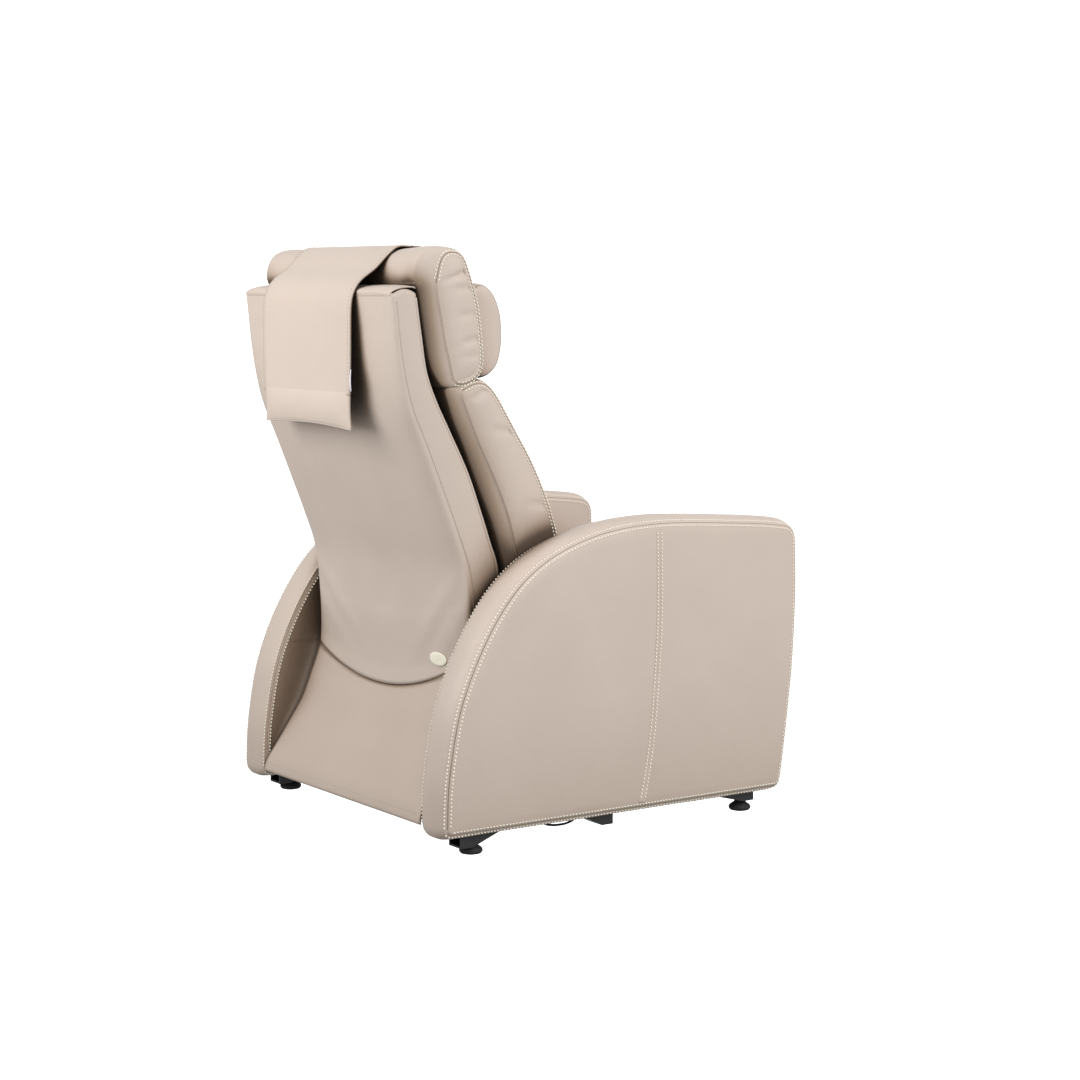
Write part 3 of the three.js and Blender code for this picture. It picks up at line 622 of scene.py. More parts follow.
def make_arm(name, sign):
    """One arm, made as the left one, with its seams and stitches; sign is -1 for the right arm."""
    outline = arm_outline()
    normal = outward(outline, 6)
    inner = arm_half(outline, normal, ARM_INNER, -1, 0.3)
    outer = arm_half(outline, normal, ARM_OUTER, 1, 1.0)
    arm = skin(f"arm_leather_{name}", inner[::-1] + outer[1:], LEATHER)
    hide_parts(f"arm_outer_panel_{name}", f"arm_inner_panel_{name}", f"arm_band_{name}")
    tree = tree_of(arm)
    seen = outline[:, 1] > ARM_BOTTOM + 3
    start = int(np.argmax(seen & ~np.roll(seen, 1)))
    order = np.roll(np.arange(len(outline)), -start)[: int(seen.sum())]
    about = (arm, len(outline), len(outer), len(ARM_BAND_SECTION))
    rows = from_seam(*about, -1, ARM_ROW, order) + from_seam(*about, 1, ARM_ROW, order)
    seam = through(ARM_SIDE_SEAM)
    strip = seam_strip(f"arm_seam_{name}", tree, seam[3:-2])
    across = unit(np.gradient(seam, axis=0))[:, ::-1] * [1, -1]
    strip_tree = tree_of(strip)
    for shift in (-5.0, 5.0):
        rows.append(on_arm_face(strip_tree, (seam + across * shift)[4:-3], 1))
    sewing = stitches(f"arm_stitches_{name}", rows)
    # The inner face's seam and the band's seam valleys get dark tubes of painted shadow.
    covers = [arm, strip, seam_shadow(f"arm_inner_seam_{name}", on_arm_face(tree, ARM_INNER_SEAM, -1)[0])]
    for label, (line, _) in zip(("outer", "inner"), from_seam(*about, 1, VALLEY_ROW, order)):
        covers.append(seam_shadow(f"arm_{label}_valley_{name}", line))
    for piece in (*covers, sewing):
        if sign < 0:
            mirror(piece)
    for piece in covers:
        attach(piece, "base")
    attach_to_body(sewing, "base")


make_arm("left", 1)
make_arm("right", -1)


# ---- Rear shell ----

SHELL_HALF = cad("rear_shell")[1][0]
SHELL_SEAM = [(272, 262), (264, 340), (262, 400), (262, 461), (273, 540), (300, 617), (330, 692), (364, 775),
              (393, 842), (408, 895), (421, 970), (431, 1066)]
SHELL_FRONT = [(236, 290), (212, 380), (198, 460), (200, 530), (219, 588), (241, 650), (270, 725),
               (311, 806), (343, 869), (362, 922), (372, 984), (384, 1066)]
SHELL_THICKNESS = 6.0
THIN_LEATHER = 3.0
CORNER_REACH = 54.0
# The curved lower seam: its height in the middle, its tilt, and its rise at a distance from the middle.
LOWER_SEAM_HEIGHT = 277
LOWER_SEAM_TILT = 0.06
LOWER_SEAM_RISE = 54
LOWER_SEAM_REACH = 260


def seam_height(x):
    """Height of the shell's curved lower seam."""
    x = np.asarray(x)
    return LOWER_SEAM_HEIGHT - LOWER_SEAM_TILT * x + LOWER_SEAM_RISE * (x / LOWER_SEAM_REACH) ** 2


def shell_bulge(z):
    """How far the rear face stands behind the side seams; less near the lower seam and near the top."""
    return 2 + 12 * np.clip((z - 300) / 120, 0, 1) - 7 * np.clip((z - 800) / 200, 0, 1)


def rear_face(x, z):
    """Distance of the rear face behind the side seams, rounded over at both sides."""
    inside = np.clip((np.abs(x) - (SHELL_HALF - CORNER_REACH)) / CORNER_REACH, 0, 1)
    crown = np.interp(z, [300, 450, 800, 1000], [2, 6, 6, 3]) * (1 - (x / SHELL_HALF) ** 2)
    return shell_bulge(z) * np.sqrt(1 - inside**2.4) + crown


def shell_grid():
    """Outer surface from the front edge on one side, round the rear, to the front edge on the other."""
    rear = resample(through(SHELL_SEAM), 8)
    front = through(SHELL_FRONT)
    front = resample(front, distances(front)[-1] / (len(rear) - 1))[: len(rear)]
    side = np.linspace(1, 0, 11)[:-1]
    turn = np.linspace(0, 1, 14)
    corner = SHELL_HALF - CORNER_REACH * (1 - np.sqrt(1 - turn**2))
    across = np.r_[corner, np.linspace(SHELL_HALF - CORNER_REACH, 0, 22)[1:]]
    rows = []
    for r, f in zip(rear, front):
        ahead = (f - r) / np.linalg.norm(f - r)
        arch = 8.0 * np.clip((r[1] - 1030) / 36, 0, 1)
        half = [(SHELL_HALF + 2.0 * swell, *(r + (f - r) * s + [0, arch * swell]))
                for s, swell in zip(side, np.sin(math.pi * side))]
        half += [(x, *(r - ahead * d)) for x, d in zip(across, rear_face(across, r[1]))]
        rows.append(half + [(-x, y, z) for x, y, z in half[-2::-1]])
    return np.array(rows, float)


def settle_lower_edge(grid):
    """Slide the low rows up so that the lower edge follows the curved seam."""
    line = through(SHELL_SEAM)
    bottom, before = grid[0, :, 2], grid[:, :, 2]
    fade = np.clip(1 - (before - bottom) / 330, 0, 1) ** 1.5
    height = before + (seam_height(grid[0, :, 0]) - bottom) * fade
    shift = np.interp(height, line[:, 1], line[:, 0]) - np.interp(before, line[:, 1], line[:, 0])
    moved = grid.copy()
    moved[:, :, 2] = height
    moved[:, :, 1] += shift * (fade > 0)
    return moved


def shell_folds(grid):
    """Soft diagonal pulls low on both sides, and a slightly uneven surface."""
    x, z = grid[:, :, 0], grid[:, :, 2]
    strength = np.exp(-(((z - 420) / 120) ** 2)) * np.clip((np.abs(x) - 60) / 160, 0, 1)
    diagonal = (z - 430) * 0.72 - (np.abs(x) - 180) * 0.69
    fold = np.exp(-((diagonal / 20) ** 2)) * 5.5 + np.exp(-(((diagonal + 52) / 26) ** 2)) * 3.6
    behind = np.clip((SHELL_HALF - np.abs(x)) / 30, 0, 1)
    out = grid.copy()
    out[:, :, 1] += behind * (strength * fold + 0.8 * uneven(x, z, 1.3, 1.1))
    return out


def shell_top_grid():
    """Leather that closes the shell's top, from its rear edge forward to the headrest."""
    profile = [(0, -5), (2.5, 0.5), (0.5, 5.5), (-8, 11.5), (-22, 14.5), (-37, 14), (-49, 12)]
    profile = resample(through(profile, 1.5), 3)
    x = np.linspace(-1, 1, 61)
    x = np.sign(x) * (1 - (1 - np.abs(x)) ** 1.4) * (SHELL_HALF - 1)
    edge = SHELL_SEAM[-1][0] + rear_face(x, SHELL_SEAM[-1][1]) * 0.96
    rows = []
    for ahead, up in profile:
        share = np.clip(-ahead / 50, 0, 1)
        y = (edge + ahead) * (1 - share) + (SHELL_SEAM[-1][0] - 50) * share
        droop = 3 * np.clip((np.abs(x) - 240) / 48, 0, 1) ** 2
        rows.append(np.column_stack([x, y, SHELL_SEAM[-1][1] + up - droop]))
    return np.array(rows)


def make_shell():
    grid = shell_folds(settle_lower_edge(shell_grid()))
    shell = plate("shell_leather", grid, SHELL_THICKNESS, LEATHER)
    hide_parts("rear_shell")
    parts = [shell, plate("shell_top_leather", shell_top_grid(), THIN_LEATHER, LEATHER)]
    for name, sign, column in (("left", 1, 9), ("right", -1, -10)):
        seam = grid[4:-2, column] + np.array([sign * 2.9, 0, 0])
        edge = grid[2:-1, 0 if sign > 0 else -1] + np.array([sign * 1.0, 0.5, 0])
        parts.append(tube(f"shell_welt_{name}", seam, 0.9, TONAL_THREAD))
        parts.append(tube(f"shell_edge_{name}", edge, 3.3, LEATHER))
    parts.append(tube("shell_lower_seam", grid[0, 12:-12] + np.array([0, 0.8, 0.8]), 1.8, LEATHER))
    parts.append(tube("shell_top_seam", grid[-1, 8:-8] + np.array([0, 2.4, -4.0]), 1.0, TONAL_THREAD))
    for part in parts:
        attach(part, "backrest")
    return shell


# How far the badge sits from the middle of its CAD box.
BADGE_SHIFT = np.array([12, 0, -3])
# Share of the badge's size, and height over the shell, from its rim up to its middle.
BADGE_DOME = [(0.96, -1.5), (1.0, 0.6), (0.985, 1.7), (0.93, 2.4), (0.8, 2.9), (0.5, 3.3), (0.2, 3.5)]


def make_badge(shell_tree):
    """Blank domed oval, lying on the shell."""
    low, high = cad("badge")
    middle = (low + high) / 2 + BADGE_SHIFT
    half = (high - low) / 2
    oval = circle(48, [half[0], 0, 0], [0, 0, half[2]])
    rings = []
    for share, lift in BADGE_DOME:
        places, normals = land(shell_tree, middle + share * oval, (0, -1, 0))
        rings.append(places + normals * lift)
    badge = skin("oval_badge", rings, IVORY)
    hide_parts("badge")
    attach(badge, "backrest")


make_badge(tree_of(make_shell()))


# ---- Skirt ----

SKIRT_SIDE = [(268, 300), (276, 276), (288, 250), (310, 202), (342, 155), (381, 94), (391, 70), (393, 58)]
SKIRT_COLUMNS = 73
# Half width at the top and how much wider the bottom is, overlap with the shell, and depth of its shaping.
SKIRT_TOP_HALF = 289
SKIRT_FLARE = 24
SKIRT_OVERLAP = 10
SKIRT_SAG = 6
SKIRT_TUCK = 2.2


def make_skirt():
    """Flared leather across the lower rear, in one sheet."""
    side = resample(through(SKIRT_SIDE), 6)
    across = np.linspace(-1, 1, SKIRT_COLUMNS)
    rows = []
    for k, (y, z) in enumerate(side):
        down = k / (len(side) - 1)
        x = across * (SKIRT_TOP_HALF + SKIRT_FLARE * down**1.2)
        top = seam_height(x) + SKIRT_OVERLAP
        height = z + (top - side[0][1]) * (1 - down) ** 3
        sag = SKIRT_SAG * (1 - across**2) * math.sin(math.pi * min(1.0, down * 1.1))
        wave = 1.2 * uneven(x, np.full(SKIRT_COLUMNS, z), 1.1, 2.3) * math.sin(math.pi * down)
        tuck = SKIRT_TUCK * (1 - down) ** 4
        rows.append(np.column_stack([x, y - tuck + sag + wave, height]))
    grid = np.array(rows)
    skirt = plate("rear_skirt_leather", grid, THIN_LEATHER, LEATHER)
    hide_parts("rear_skirt", "skirt_upper")
    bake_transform(skirt)
    hem_line = grid[-4, 2:-2] + np.array([0, 1.4, 0.5])
    hem = attach(tube("rear_skirt_hem", hem_line, 0.4, LEATHER), "base")


make_skirt()


# ---- Cushions ----

# Half the width that the cushions' shapes were drawn for.
BODY_HALF = 305

# Cross-section of a boxed cushion at its sides: distance in from the side, height over the front seam,
# height at the rear, and how far the outline has come in to the side panel's own edge.
BOXING = [(BODY_HALF, 10.5, 0, 0), (250, 10.4, 0, 0), (190, 10.2, 0, 0), (130, 9.8, 0, 0), (90, 9.5, 0, 0),
          (62, 9.2, 0, 0), (44, 8.8, 0, 0), (32, 8.3, 0, 0), (24, 7.7, 0, 0), (18, 7.0, 0, 0),
          (13.5, 6.2, 0, 0.01), (10, 5.2, 0, 0.05), (8.4, 4.6, 0, 0.11), (7.0, 4.0, 0, 0.19),
          (5.8, 3.3, 0, 0.30), (4.7, 2.6, 0, 0.44), (3.7, 1.8, 0, 0.60), (2.8, 0.8, 0, 0.77),
          (2.0, -0.5, 0, 0.90), (1.3, -1.9, -0.2, 0.98), (0.8, -3.2, -0.9, 1)]

# The side panel's edge: distance out from the side, inside the front seam, and inside the rear seam.
PANEL_EDGE = [(-0.4, 4.2, 1.6), (0.6, 5.2, 2.2), (1.3, 6.6, 3.2), (1.8, 8.4, 5.0), (2.0, 11.0, 8.0)]
PANEL_SHARES = [0.95, 0.89, 0.82, 0.74, 0.65, 0.55, 0.44, 0.32, 0.2]

# Side outlines, each a front run and a rear run: a cushion's shape across its middle, and its side panel.
BACK_LINE = [(250, 899), (228, 893), (206, 868), (177, 818), (132, 745), (102, 685), (83, 637), (60, 560),
             (31, 470)]
BACK_REAR = [(31, 470), (153, 420), (180, 520), (204, 593), (219, 634), (248, 700), (277, 769), (305, 830),
             (322, 885)]
BACK_FULL = ([(322, 885), (285, 894)] + BACK_LINE, BACK_REAR)
BACK_PANEL = ([(296, 882), (272, 893)] + BACK_LINE,
              [(31, 470), (128, 480), (150, 525), (164, 564), (184, 636), (214, 706), (250, 775), (275, 833),
               (296, 882)])
HEAD_LINE = [(268, 895), (253, 904), (242, 921), (239, 942), (242, 981), (247, 1024), (253, 1055),
             (261, 1083), (269, 1106), (277, 1128), (286, 1140), (300, 1146)]
HEAD_FULL = ([(330, 895), (295, 891)] + HEAD_LINE
             + [(328, 1147), (352, 1145), (370, 1135), (380, 1115), (382, 1094), (380, 1082)],
             [(381, 1082), (375, 1046), (366, 993), (358, 949), (347, 915), (330, 895)])
HEAD_PANEL = ([(307, 894), (288, 890)] + HEAD_LINE + [(320, 1145), (334, 1133), (342, 1110), (347, 1086)],
              [(347, 1086), (343, 1055), (334, 1014), (326, 971), (317, 938), (310, 908), (307, 894)])


def evenly(run, count):
    length = distances(run)
    return line_at(np.linspace(0, length[-1], count), length, run)


def evened(values, times):
    """Values of a closed outline, each averaged with its neighbours."""
    for _ in range(times):
        values = (np.roll(values, 1, axis=0) + 2 * values + np.roll(values, -1, axis=0)) / 4
    return values


def matched(front, rear, counts, rounding=3):
    """Closed outline of a front and a rear run, each with a fixed number of points, its corners softened."""
    runs = [evenly(run, count)[:-1] for run, count in zip((front, rear), counts)]
    return evened(np.vstack(runs), rounding)


def toward_spine(outline, share):
    """The outline drawn in toward a line along its middle."""
    centre = outline.mean(axis=0)
    way = np.linalg.svd(outline - centre)[2][0]
    along = (outline - centre) @ way
    reach = (along.max() - along.min()) / 2
    breadth = np.abs((outline - centre) @ np.array([-way[1], way[0]])).max()
    straight_part = max(reach - breadth, 0)
    middle = centre + np.outer(np.clip(along, -straight_part, straight_part), way)
    return middle + (outline - middle) * share


def side_rings(outline, weight, half, swell, puckers):
    """Rings of one side panel, from its edge in to its middle."""
    normal = outward(outline, 4)
    rings = []
    for out, front, rear in PANEL_EDGE:
        inset = front * weight + rear * (1 - weight)
        rings.append(at_x(half + out, outline - normal * inset[:, None]))
    edge = rings[-1][:, 1:]
    for share in PANEL_SHARES:
        place = toward_spine(edge, share)
        away = np.linalg.norm(place - edge, axis=1)
        x = half + PANEL_EDGE[-1][0] + swell(place) * (1 - share**2) + 0.5 * uneven(*place.T, 0.8, 2.0)
        for y, z, slope, depth in puckers:
            across = (place[:, 1] - z - slope * (place[:, 0] - y)) / 7
            x -= depth * np.exp(-(across**2)) * np.exp(-((away - 14) / 34) ** 2) * weight.clip(0.15)
        rings.append(at_x(x, place))
    return rings


def both_sides(rings):
    """Rings of one half, from the middle out, and their mirror images."""
    return [ring * np.array([-1, 1, 1]) for ring in rings[:0:-1]] + rings


def boxed_cushion(name, full, panel, weight, half, swell, crown, puckers, shape):
    """Closed cushion: a wide boxed middle whose rear slopes in to a panel on each side."""
    rings = []
    for depth, front, rear, blend in BOXING:
        depth = min(depth, half)
        front *= 1 - (1 - crown) * min(1.0, max(0.0, (depth - 20) / 100))
        outline = full * (1 - blend) + panel * blend
        height = front * weight + rear * (1 - weight)
        rings.append(at_x(half - depth, outline + outward(outline, 4) * height[:, None]))
    rings = both_sides(rings + side_rings(panel, weight, half, swell, puckers))
    if shape is not None:
        rings = [shape(ring) for ring in rings]
    return skin(name, rings, LEATHER)


CLOTH = {
    "quality": 5,
    "mass": 0.4,
    "tension_stiffness": 40,
    "compression_stiffness": 12,
    "shear_stiffness": 8,
    "bending_stiffness": 1.5,
    "use_pressure": True,
    "uniform_pressure_force": 3.0,
    "vertex_group_mass": "pinned",
    "pin_stiffness": 2.0,
}
CLOTH_FRAMES = 16


def soften(piece, pinned, cap):
    """Cloth simulation: the cover is blown up a little between its pinned seams, and the result is kept.
    No point moves further than cap."""
    scene = bpy.context.scene
    group = piece.vertex_groups.new(name="pinned")
    before = np.array([v.co[:] for v in piece.data.vertices])
    group.add(np.flatnonzero(pinned(before / MM)).tolist(), 1.0, "REPLACE")
    cloth = piece.modifiers.new("Cloth", "CLOTH")
    for key, value in CLOTH.items():
        setattr(cloth.settings, key, value)
    cloth.settings.effector_weights.gravity = 0
    cloth.collision_settings.use_collision = False
    cloth.collision_settings.use_self_collision = False
    cloth.point_cache.frame_start = 1
    cloth.point_cache.frame_end = CLOTH_FRAMES
    for step in range(1, CLOTH_FRAMES + 1):
        scene.frame_set(step)
    seen = piece.evaluated_get(bpy.context.evaluated_depsgraph_get())
    move = np.array([v.co[:] for v in seen.data.vertices]) - before
    piece.modifiers.remove(cloth)
    piece.vertex_groups.remove(group)
    reach = np.linalg.norm(move, axis=1)
    limit = cap * MM
    scale = np.where(reach > 1e-9, limit * np.tanh(reach / limit) / np.maximum(reach, 1e-9), 0)
    piece.data.vertices.foreach_set("co", (before + move * scale[:, None]).ravel())
    piece.data.update()
    scene.frame_set(1)
    print("softened", piece.name, "most", round(float((reach * scale).max() / MM), 1), "mm")


# How far the back's bolsters stand forward and up to what height, and the hollow for the carriage.
HUG = 9.0
HUG_TOP = 880
HOLLOW_DEPTH = 5.0
HOLLOW_HALF = 190


def hug(x):
    """Shaping across the width: the middle sinks and two side bolsters stand forward."""
    across = np.abs(x) / BODY_HALF
    return HUG * (np.exp(-(((across - 0.78) / 0.2) ** 2)) - 0.55 * np.exp(-((across / 0.45) ** 2)))


def back_shape(ring):
    """Shape the back for a body, and hollow its rear a little for the massage carriage."""
    shaped = ring.copy()
    line = np.array(BACK_REAR[1:], float)
    ahead = np.interp(ring[:, 2], line[:, 1], line[:, 0]) - ring[:, 1]
    front_share = np.clip(ahead / 130, 0, 1) ** 2
    shaped[:, 1] -= front_share * hug(ring[:, 0]) * np.clip((HUG_TOP - ring[:, 2]) / 60, 0, 1)
    inside = np.clip((HOLLOW_HALF - np.abs(ring[:, 0])) / 30, 0, 1)
    shaped[:, 1] -= HOLLOW_DEPTH * inside * np.clip(1 - ahead / 50, 0, 1)
    return shaped


def side_seams(name, tree, line):
    """Tonal seam on both sides of a cushion, a little out from its side panels."""
    for label, side in (("left", 1), ("right", -1)):
        thin_seam(f"{name}_side_seam_{label}", tree, at_x(side * (CUSHION_HALF + 30), line), (-side, 0, 0))


def thin_seam(name, tree, lifted, toward):
    """Tonal thread where a line, moved toward a cushion, meets its cover."""
    points, normals = land(tree, lifted, toward)
    attach(tube(name, points - normals * 0.25, 0.8, TONAL_THREAD), "backrest")


def even_swell(amount):
    """How far a side panel stands out, the same all over."""
    return lambda place: np.full(len(place), amount)


def upholster(name, node, body, full, panel, counts, half, swell, cap, crown=1.0, puckers=(), shape=None):
    full_outline, panel_outline = matched(*full, counts), matched(*panel, counts)
    weight = evened(np.r_[np.ones(counts[0] - 1), np.zeros(counts[1] - 1)], 3)
    piece = boxed_cushion(name, full_outline, panel_outline, weight, half, swell, crown, puckers, shape)

    def pinned(places):
        seam = np.abs(np.abs(places[:, 0]) - half) < 3.4
        line = np.array(sorted((z, y) for y, z in full[1]), float)
        behind = places[:, 1] > np.interp(places[:, 2], *line.T) - 22
        return seam | behind

    soften(piece, pinned, cap)
    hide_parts(node)
    attach(piece, body)
    keep = np.arange(1, counts[0])
    half_rings = len(BOXING) + len(PANEL_EDGE) + len(PANEL_SHARES)
    about = (piece, len(panel_outline), half_rings, len(BOXING) - 1)
    rows = from_seam(*about, -1, CUSHION_ROW, keep) + from_seam(*about, 1, CUSHION_ROW, keep)
    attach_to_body(stitches(f"{name}_stitches", rows), body)
    # Dark tubes of painted shadow along the side panels' seam valleys.
    for label, (line, _) in zip(("left", "right"), from_seam(*about, 1, VALLEY_ROW, keep)):
        attach(seam_shadow(f"{name}_seam_{label}", line), body)
    return tree_of(piece)


CUSHION_HALF = cad("back_cushion")[1][0] - 4

# Puckers in the side panels: place (y, z), slope and depth.
BACK_PUCKERS = [(170, 800, 0.1, 3.0), (240, 880, -0.6, 2.2), (95, 655, 0.1, 1.8)]
HEAD_PUCKERS = [(270, 1112, -0.45, 4.0), (258, 1078, -0.1, 2.8), (247, 1030, -0.15, 2.6),
                (240, 985, -0.3, 3.4), (238, 950, -0.1, 1.8), (240, 918, -0.5, 3.2)]


def back_swell(place):
    """How far the back's side panels stand out: only above the arms."""
    return 3.0 * np.clip((place[:, 1] - 590) / 70, 0, 1)


def through_all(runs):
    return tuple(through(run) for run in runs)


def make_back():
    full, panel = through_all(BACK_FULL), through_all(BACK_PANEL)
    tree = upholster("back_cushion_leather", "back_cushion", "backrest", full, panel, (80, 62), CUSHION_HALF,
                     back_swell, cap=5.0, puckers=BACK_PUCKERS, shape=back_shape)
    side_seams("back", tree, panel[1][18:-2])


def make_headrest():
    full, panel = through_all(HEAD_FULL), through_all(HEAD_PANEL)
    tree = upholster("headrest_leather", "headrest_cushion", "backrest", full, panel, (88, 36), CUSHION_HALF,
                     even_swell(4.5), cap=3.0, crown=0.2, puckers=HEAD_PUCKERS)
    side_seams("headrest", tree, panel[1][1:-2])
    x = np.linspace(-294, 294, 99)
    behind = np.column_stack([x, np.full(99, 400.0), np.full(99, 1085.0)])
    thin_seam("headrest_rear_seam", tree, behind, (0, -1, 0))


make_back()
make_headrest()


# ---- Neck pillow ----

PILLOW_HALF = cad("neck_pillow")[1][0]
PILLOW_FRONT = [(238, 902), (204, 897), (176, 907), (158, 929), (149, 972), (150, 1012), (157, 1044),
                (171, 1071), (190, 1086), (214, 1089), (246, 1080)]
PILLOW_REAR = [(246, 1080), (242, 990), (238, 902)]
PILLOW_MIDDLE = 992
# Half the length that the roll was drawn for, and where along it the gathers are deepest.
PILLOW_DRAWN_HALF = 236
PILLOW_GATHER = 231

# Distance from the middle, and share of the outline there: along the roll, then in over its end.
PILLOW_BODY = [(0, 1.0), (50, 1.0), (100, 0.998), (145, 0.995), (175, 0.99), (195, 0.985), (208, 0.98),
               (218, 0.975), (226, 0.965), (231, 0.955), (234, 0.94), (235.5, 0.92)]
PILLOW_END = [(234.5, 0.90), (235.5, 0.87), (237, 0.81), (238.5, 0.72), (239.5, 0.6), (240, 0.45),
              (240, 0.3), (240, 0.12)]


def make_pillow():
    """Soft roll with a flat rear, its ends gathered into a seam."""
    outline = matched(through(PILLOW_FRONT), through(PILLOW_REAR), (62, 28), 2)
    normal = outward(outline, 4)
    high_or_low = np.abs(outline[:, 1] - PILLOW_MIDDLE) > 68
    gathered = evened(np.clip((outline[:, 0] - 196) / 30, 0, 1) * high_or_low, 2)
    length = distances(outline)
    pleats = (np.sin(length / 2.6) + 0.5 * np.sin(length / 4.7 + 1.0)) * gathered
    centre = outline.mean(axis=0)
    (top_rear, top), (bottom_rear, bottom) = PILLOW_REAR[0], PILLOW_REAR[-1]
    rings = []
    for x, share in PILLOW_BODY + PILLOW_END:
        gather = 2.2 * math.exp(-(((x - PILLOW_GATHER) / 26) ** 2)) * (1 if share > 0.8 else 0.35)
        place = toward_spine(outline, share) if share < 0.9 else centre + (outline - centre) * share
        place = place + normal * (gather * pleats - 5 * gather * gathered * (x > 200) / 2.2)[:, None]
        flat_rear = np.interp(place[:, 1], [bottom, top], [bottom_rear, top_rear])
        place[:, 0] = np.minimum(place[:, 0], flat_rear)
        rings.append(at_x(x * PILLOW_HALF / PILLOW_DRAWN_HALF, place))
    pillow = skin("neck_pillow_leather", both_sides(rings), LEATHER)
    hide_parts("neck_pillow")
    attach(pillow, "pillow")


make_pillow()


# ---- Strap and flap ----

STRAP_HALF = cad("pillow_flap")[1][0]
STRAP_REAR = [(322, 1155.5), (352, 1155), (374, 1140), (402, 1113), (432, 1092), (449, 1070), (456, 1040),
              (458, 980), (459, 872)]
STRAP_FRONT = [(247, 1060), (255, 1086), (275, 1136), (290, 1150), (304, 1155), (322, 1155.5)]
STRAP_THICKNESS = 3.6
# Depth at which the flap hangs, and points across it.
FLAP_FACE = 458
FLAP_COLUMNS = 49
POUCH_TOP = 880.0
LABEL_HEIGHT = 42


def strap_grid(line, drop, taper=0.0):
    """Grid of a band that follows a side line. drop is 1 where the end hangs free, so it curls a little."""
    side = resample(through(line), 6)
    across = np.linspace(-1, 1, FLAP_COLUMNS)
    rows = []
    for share, (y, z) in zip(np.linspace(0, 1, len(side)), side):
        x = across * (STRAP_HALF - taper * share + 0.8 * math.sin(share * 9 + 1))
        height = np.full(FLAP_COLUMNS, z)
        lift = 0.9 * uneven(x, height, 0.8, 4.0) * drop * share
        curl = drop * share * 2.5 * across**2
        rows.append(np.column_stack([x, y + lift - curl, height]))
    return np.array(rows)


def edge_lines(grid, tree, inset):
    """Lines just inside a band's two side edges."""
    rows = []
    for column, sign in ((0, 1), (-1, -1)):
        line = grid[:, column] + np.array([sign * inset, 0, 0])
        normal = unit(np.cross(np.gradient(grid[:, column], axis=0), [1, 0, 0]))
        if normal[-1][1] < 0:
            normal = -normal
        rows.append(land(tree, line + normal * 10, -normal))
    return rows


def make_straps():
    rear = strap_grid(STRAP_REAR, 1.0, 7.0)
    front = strap_grid(STRAP_FRONT, 0.0)
    flap = plate("pillow_strap_rear", rear, STRAP_THICKNESS, LEATHER)
    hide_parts("strap_over", "pillow_flap")
    rows = edge_lines(rear, tree_of(flap), 9)
    sewing = stitches("pillow_strap_stitches", rows, TONAL_THREAD, 0.5, 4.5)
    collar = plate("pillow_strap_front", front, STRAP_THICKNESS, LEATHER)
    for piece in (flap, sewing):
        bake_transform(piece)
    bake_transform(collar)


def make_pouch():
    """Weighted pouch along the flap's lower edge, with a small blank label sewn in beside it."""
    bottom = cad("pillow_flap")[0][2]
    across = np.linspace(-1, 1, FLAP_COLUMNS)
    middle, thick = [], []
    for share in np.linspace(0, 1, 15):
        z = bottom + (POUCH_TOP - bottom) * share
        lower = 1 - share
        bulge = math.sin(math.pi * share)
        x = across * (STRAP_HALF - 8 - 2.5 * bulge)
        x = x - np.where(across > 0, 5 * lower, 3 * lower**2) * np.abs(across)
        droop = 4.0 * np.sin(np.pi * (across + 1) / 2) * lower - 5.0 * lower * (across < 0) * across**2
        lumps = 0.8 * uneven(x, np.full(FLAP_COLUMNS, z), 0.45, 5.0) * bulge
        middle.append(np.column_stack([x, FLAP_FACE - 2.5 * across**2, z + droop]))
        thick.append(6.5 * bulge**0.7 * (1 - np.abs(across) ** 7) + 1.8 + lumps)
    rear, front = np.array(middle), np.array(middle)
    rear[:, :, 1] += np.array(thick)
    front[:, :, 1] -= np.array(thick) * 0.8
    pouch = sheet("flap_pouch", rear, front, LEATHER)
    seam = tube("flap_pouch_seam", rear[-1] + np.array([0, -0.4, -1.0]), 1.0, LEATHER)
    hem = tube("flap_pouch_hem", rear[0] + np.array([0, -1.4, 1.0]), 2.3, LEATHER)
    for piece in (pouch, seam, hem):
        attach(piece, "flap")
    attach(plate("side_label", label_grid(), 0.8, LABEL), "flap")


def label_grid():
    """Small blank label sewn into the flap's right-hand edge, over the pouch."""
    x = np.linspace(-STRAP_HALF + 1, -STRAP_HALF + 9, 5)
    rows = []
    for z in np.linspace(POUCH_TOP, POUCH_TOP + LABEL_HEIGHT, 9):
        bend = 1.2 * math.sin((z - POUCH_TOP) / LABEL_HEIGHT * math.pi)
        rows.append(np.column_stack([x, FLAP_FACE + bend - 0.15 * (x + STRAP_HALF), np.full(5, z)]))
    return np.array(rows)


make_straps()
make_pouch()


# ---- Seat and leg rest ----

SEAT_HALF = cad("seat_cushion")[1][0] - 2
SEAT_TOP = [(10, 450), (-10, 456), (-120, 455), (-300, 455), (-400, 454), (-436, 446), (-451, 424),
            (-448, 402), (-432, 391)]
SEAT_UNDER = [(-432, 391), (-390, 390), (-372, 354), (12, 354), (14, 400), (10, 450)]
LEG_HALF = cad("legrest_cushion")[1][0] - 2
LEG_FRONT = [(-390, 345), (-430, 345), (-444, 336), (-448, 300), (-449, 220), (-445, 135), (-434, 118),
             (-400, 114)]
LEG_REAR = [(-400, 114), (-389, 124), (-389, 230), (-390, 345)]


def upholster_part(name, top, under, counts, half, swell, cap):
    """Cushion of the seat or the leg rest, whose side panels have the same outline as its middle."""
    pair = (through(top), resample(np.array(under, float), 5))
    upholster(f"{name}_leather", f"{name}_cushion", name, pair, pair, counts, half, even_swell(swell), cap)


upholster_part("seat", SEAT_TOP, SEAT_UNDER, (76, 64), SEAT_HALF, 3.0, 7.0)
upholster_part("legrest", LEG_FRONT, LEG_REAR, (58, 32), LEG_HALF, 1.0, 5.0)


# ---- Levelling feet ----

